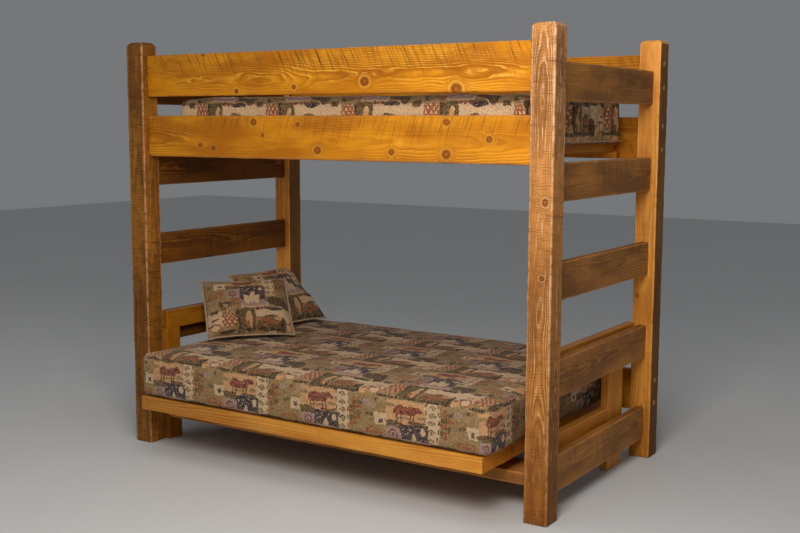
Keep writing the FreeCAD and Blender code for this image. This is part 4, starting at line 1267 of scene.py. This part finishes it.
def make_pillow(node, name, height, turn, lean, tile):
    """A square throw pillow, fullest in the middle, with a cord round its knife-edge seam."""
    across, up = 46, 36
    half_w = PILLOW_WIDTH / 2 + 0.002
    half_h = height / 2 + 0.002
    places, index = [], {}
    faces, cloth = [], []

    def vertex(i, j, way):
        rim = i in (0, across) or j in (0, up)
        key = (i, j, 0 if rim else way)
        if key not in index:
            s = 2 * i / across - 1
            t = 2 * j / up - 1
            full = ((1 - abs(s) ** 2.6) * (1 - abs(t) ** 2.6)) ** 0.52
            x = s * half_w * (1 - SIDE_PULL * (1 - t * t))
            z = t * half_h * (1 - TOP_PULL * (1 - s * s))
            index[key] = len(places)
            places.append((x, key[2] * full * PILLOW_THICKNESS * 0.46, z))
        return index[key]

    for way in (-1, 1):
        for i in range(across):
            for j in range(up):
                faces.append([vertex(i + di, j + dj, way) for di, dj in SQUARE])
                for di, dj in SQUARE:
                    along = -way * PILLOW_WIDTH * ((i + di) / across - 0.5)
                    rise = PILLOW_CLOTH_HEIGHT * ((j + dj) / up - 0.5)
                    cloth.append((along + tile[0], rise + tile[1]))
    rim = [index[(i, 0, 0)] for i in range(across)]
    rim += [index[(across, j, 0)] for j in range(up)]
    rim += [index[(i, up, 0)] for i in range(across, 0, -1)]
    rim += [index[(0, j, 0)] for j in range(up, 0, -1)]
    piece = soft_object(name, places, faces, cloth, pillow_cloth)
    inflate(piece, 0.012, pressure=5.0, stiffness=14.0, bend=0.4)
    points = mesh_points(piece)
    normals = normals_of(piece)
    fullness = np.clip(np.abs(points[:, 1]) / 0.05, 0, 1)
    waves = 0.0050 * ripple(points * (1, 0.2, 1), 0.14, 21) + 0.0022 * ripple(points, 0.05, 22)
    points += normals * (waves * fullness)[:, None]
    edge = np.clip(1 - np.minimum(half_w - np.abs(points[:, 0]), half_h - np.abs(points[:, 2])) / 0.05, 0, 1)
    pucker = ripple(points * (1, 0, 1), 0.030, 23) * edge * fullness
    points += normals * (0.0022 * pucker)[:, None]

    turn_to_world = Matrix.Rotation(math.radians(turn), 3, "Z") @ Matrix.Rotation(math.radians(-lean), 3, "X")
    placed = points @ np.array(turn_to_world).T
    low, high = (np.array(corner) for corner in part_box(node))
    placed += (low + high) / 2 - (placed.min(0) + placed.max(0)) / 2
    floor_z = low[2] + 0.002
    placed[:, 2] = np.maximum(placed[:, 2], floor_z)
    set_points(piece, placed)
    cord = tube(name + "_piping", placed[rim], PIPING, piping_cloth)
    smooth_once(piece)
    for part in (piece, cord):
        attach(part, body_of_node[node])
    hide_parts(node)


make_pillow("pillow_front", "front_pillow_cover", 0.345, 50, 42, (0.225, 0.205))
make_pillow("pillow_rear", "rear_pillow_cover", 0.391, 85.5, 50, (0.196, 0.215))


# ---------------------------------------------------------------- floor and light
def make_floor():
    """A plain pale floor."""
    mesh = bpy.data.meshes.new("floor")
    reach, drop = 14.0, -0.0005
    corners = [((2 * i - 1) * reach, (2 * j - 1) * reach, drop) for i, j in SQUARE]
    mesh.from_pydata(corners, [], [[0, 1, 2, 3]])
    net = Net("pale_floor")
    place = net.own_place()
    pile = net.noise(place, scale=260, detail=3)
    cloud = net.noise(place, scale=1.2, detail=3)
    body = net.mix(pile, colour(206, 205, 203), colour(226, 225, 224))
    body = net.shade(body, 0.96 + cloud * 0.08)
    mesh.materials.append(net.surface(body, 0.95, pile * 0.0012))
    link("floor", mesh)


def make_light(name, place, target, size, power, tint):
    """A soft square studio light."""
    data = bpy.data.lights.new(name, "AREA")
    data.energy = power
    data.size = size
    data.color = tint
    light = link(name, data)
    light.location = place
    aim = Vector(target) - Vector(place)
    light.rotation_euler = aim.to_track_quat("-Z", "Y").to_euler()


def make_world():
    """Even pale studio surroundings."""
    world = bpy.data.worlds.new("studio")
    world.use_nodes = True
    background = world.node_tree.nodes["Background"]
    background.inputs["Color"].default_value = (0.74, 0.77, 0.80, 1)
    background.inputs["Strength"].default_value = 0.24
    bpy.context.scene.world = world


make_floor()
make_world()
make_light("key", (1.75, -2.9, 2.5), (0.0, -0.2, 0.9), 1.3, 74, (1.0, 0.965, 0.92))
make_light("fill", (-3.5, -4.5, 2.8), (0.0, 0.0, 0.8), 2.4, 10, (1.0, 0.98, 0.96))
make_light("top", (0.4, -1.4, 5.0), (0.2, -0.5, 0.0), 3.0, 36, (1.0, 1.0, 1.0))
bpy.context.scene.view_settings.view_transform = "Standard"
bpy.context.scene.view_settings.look = "None"
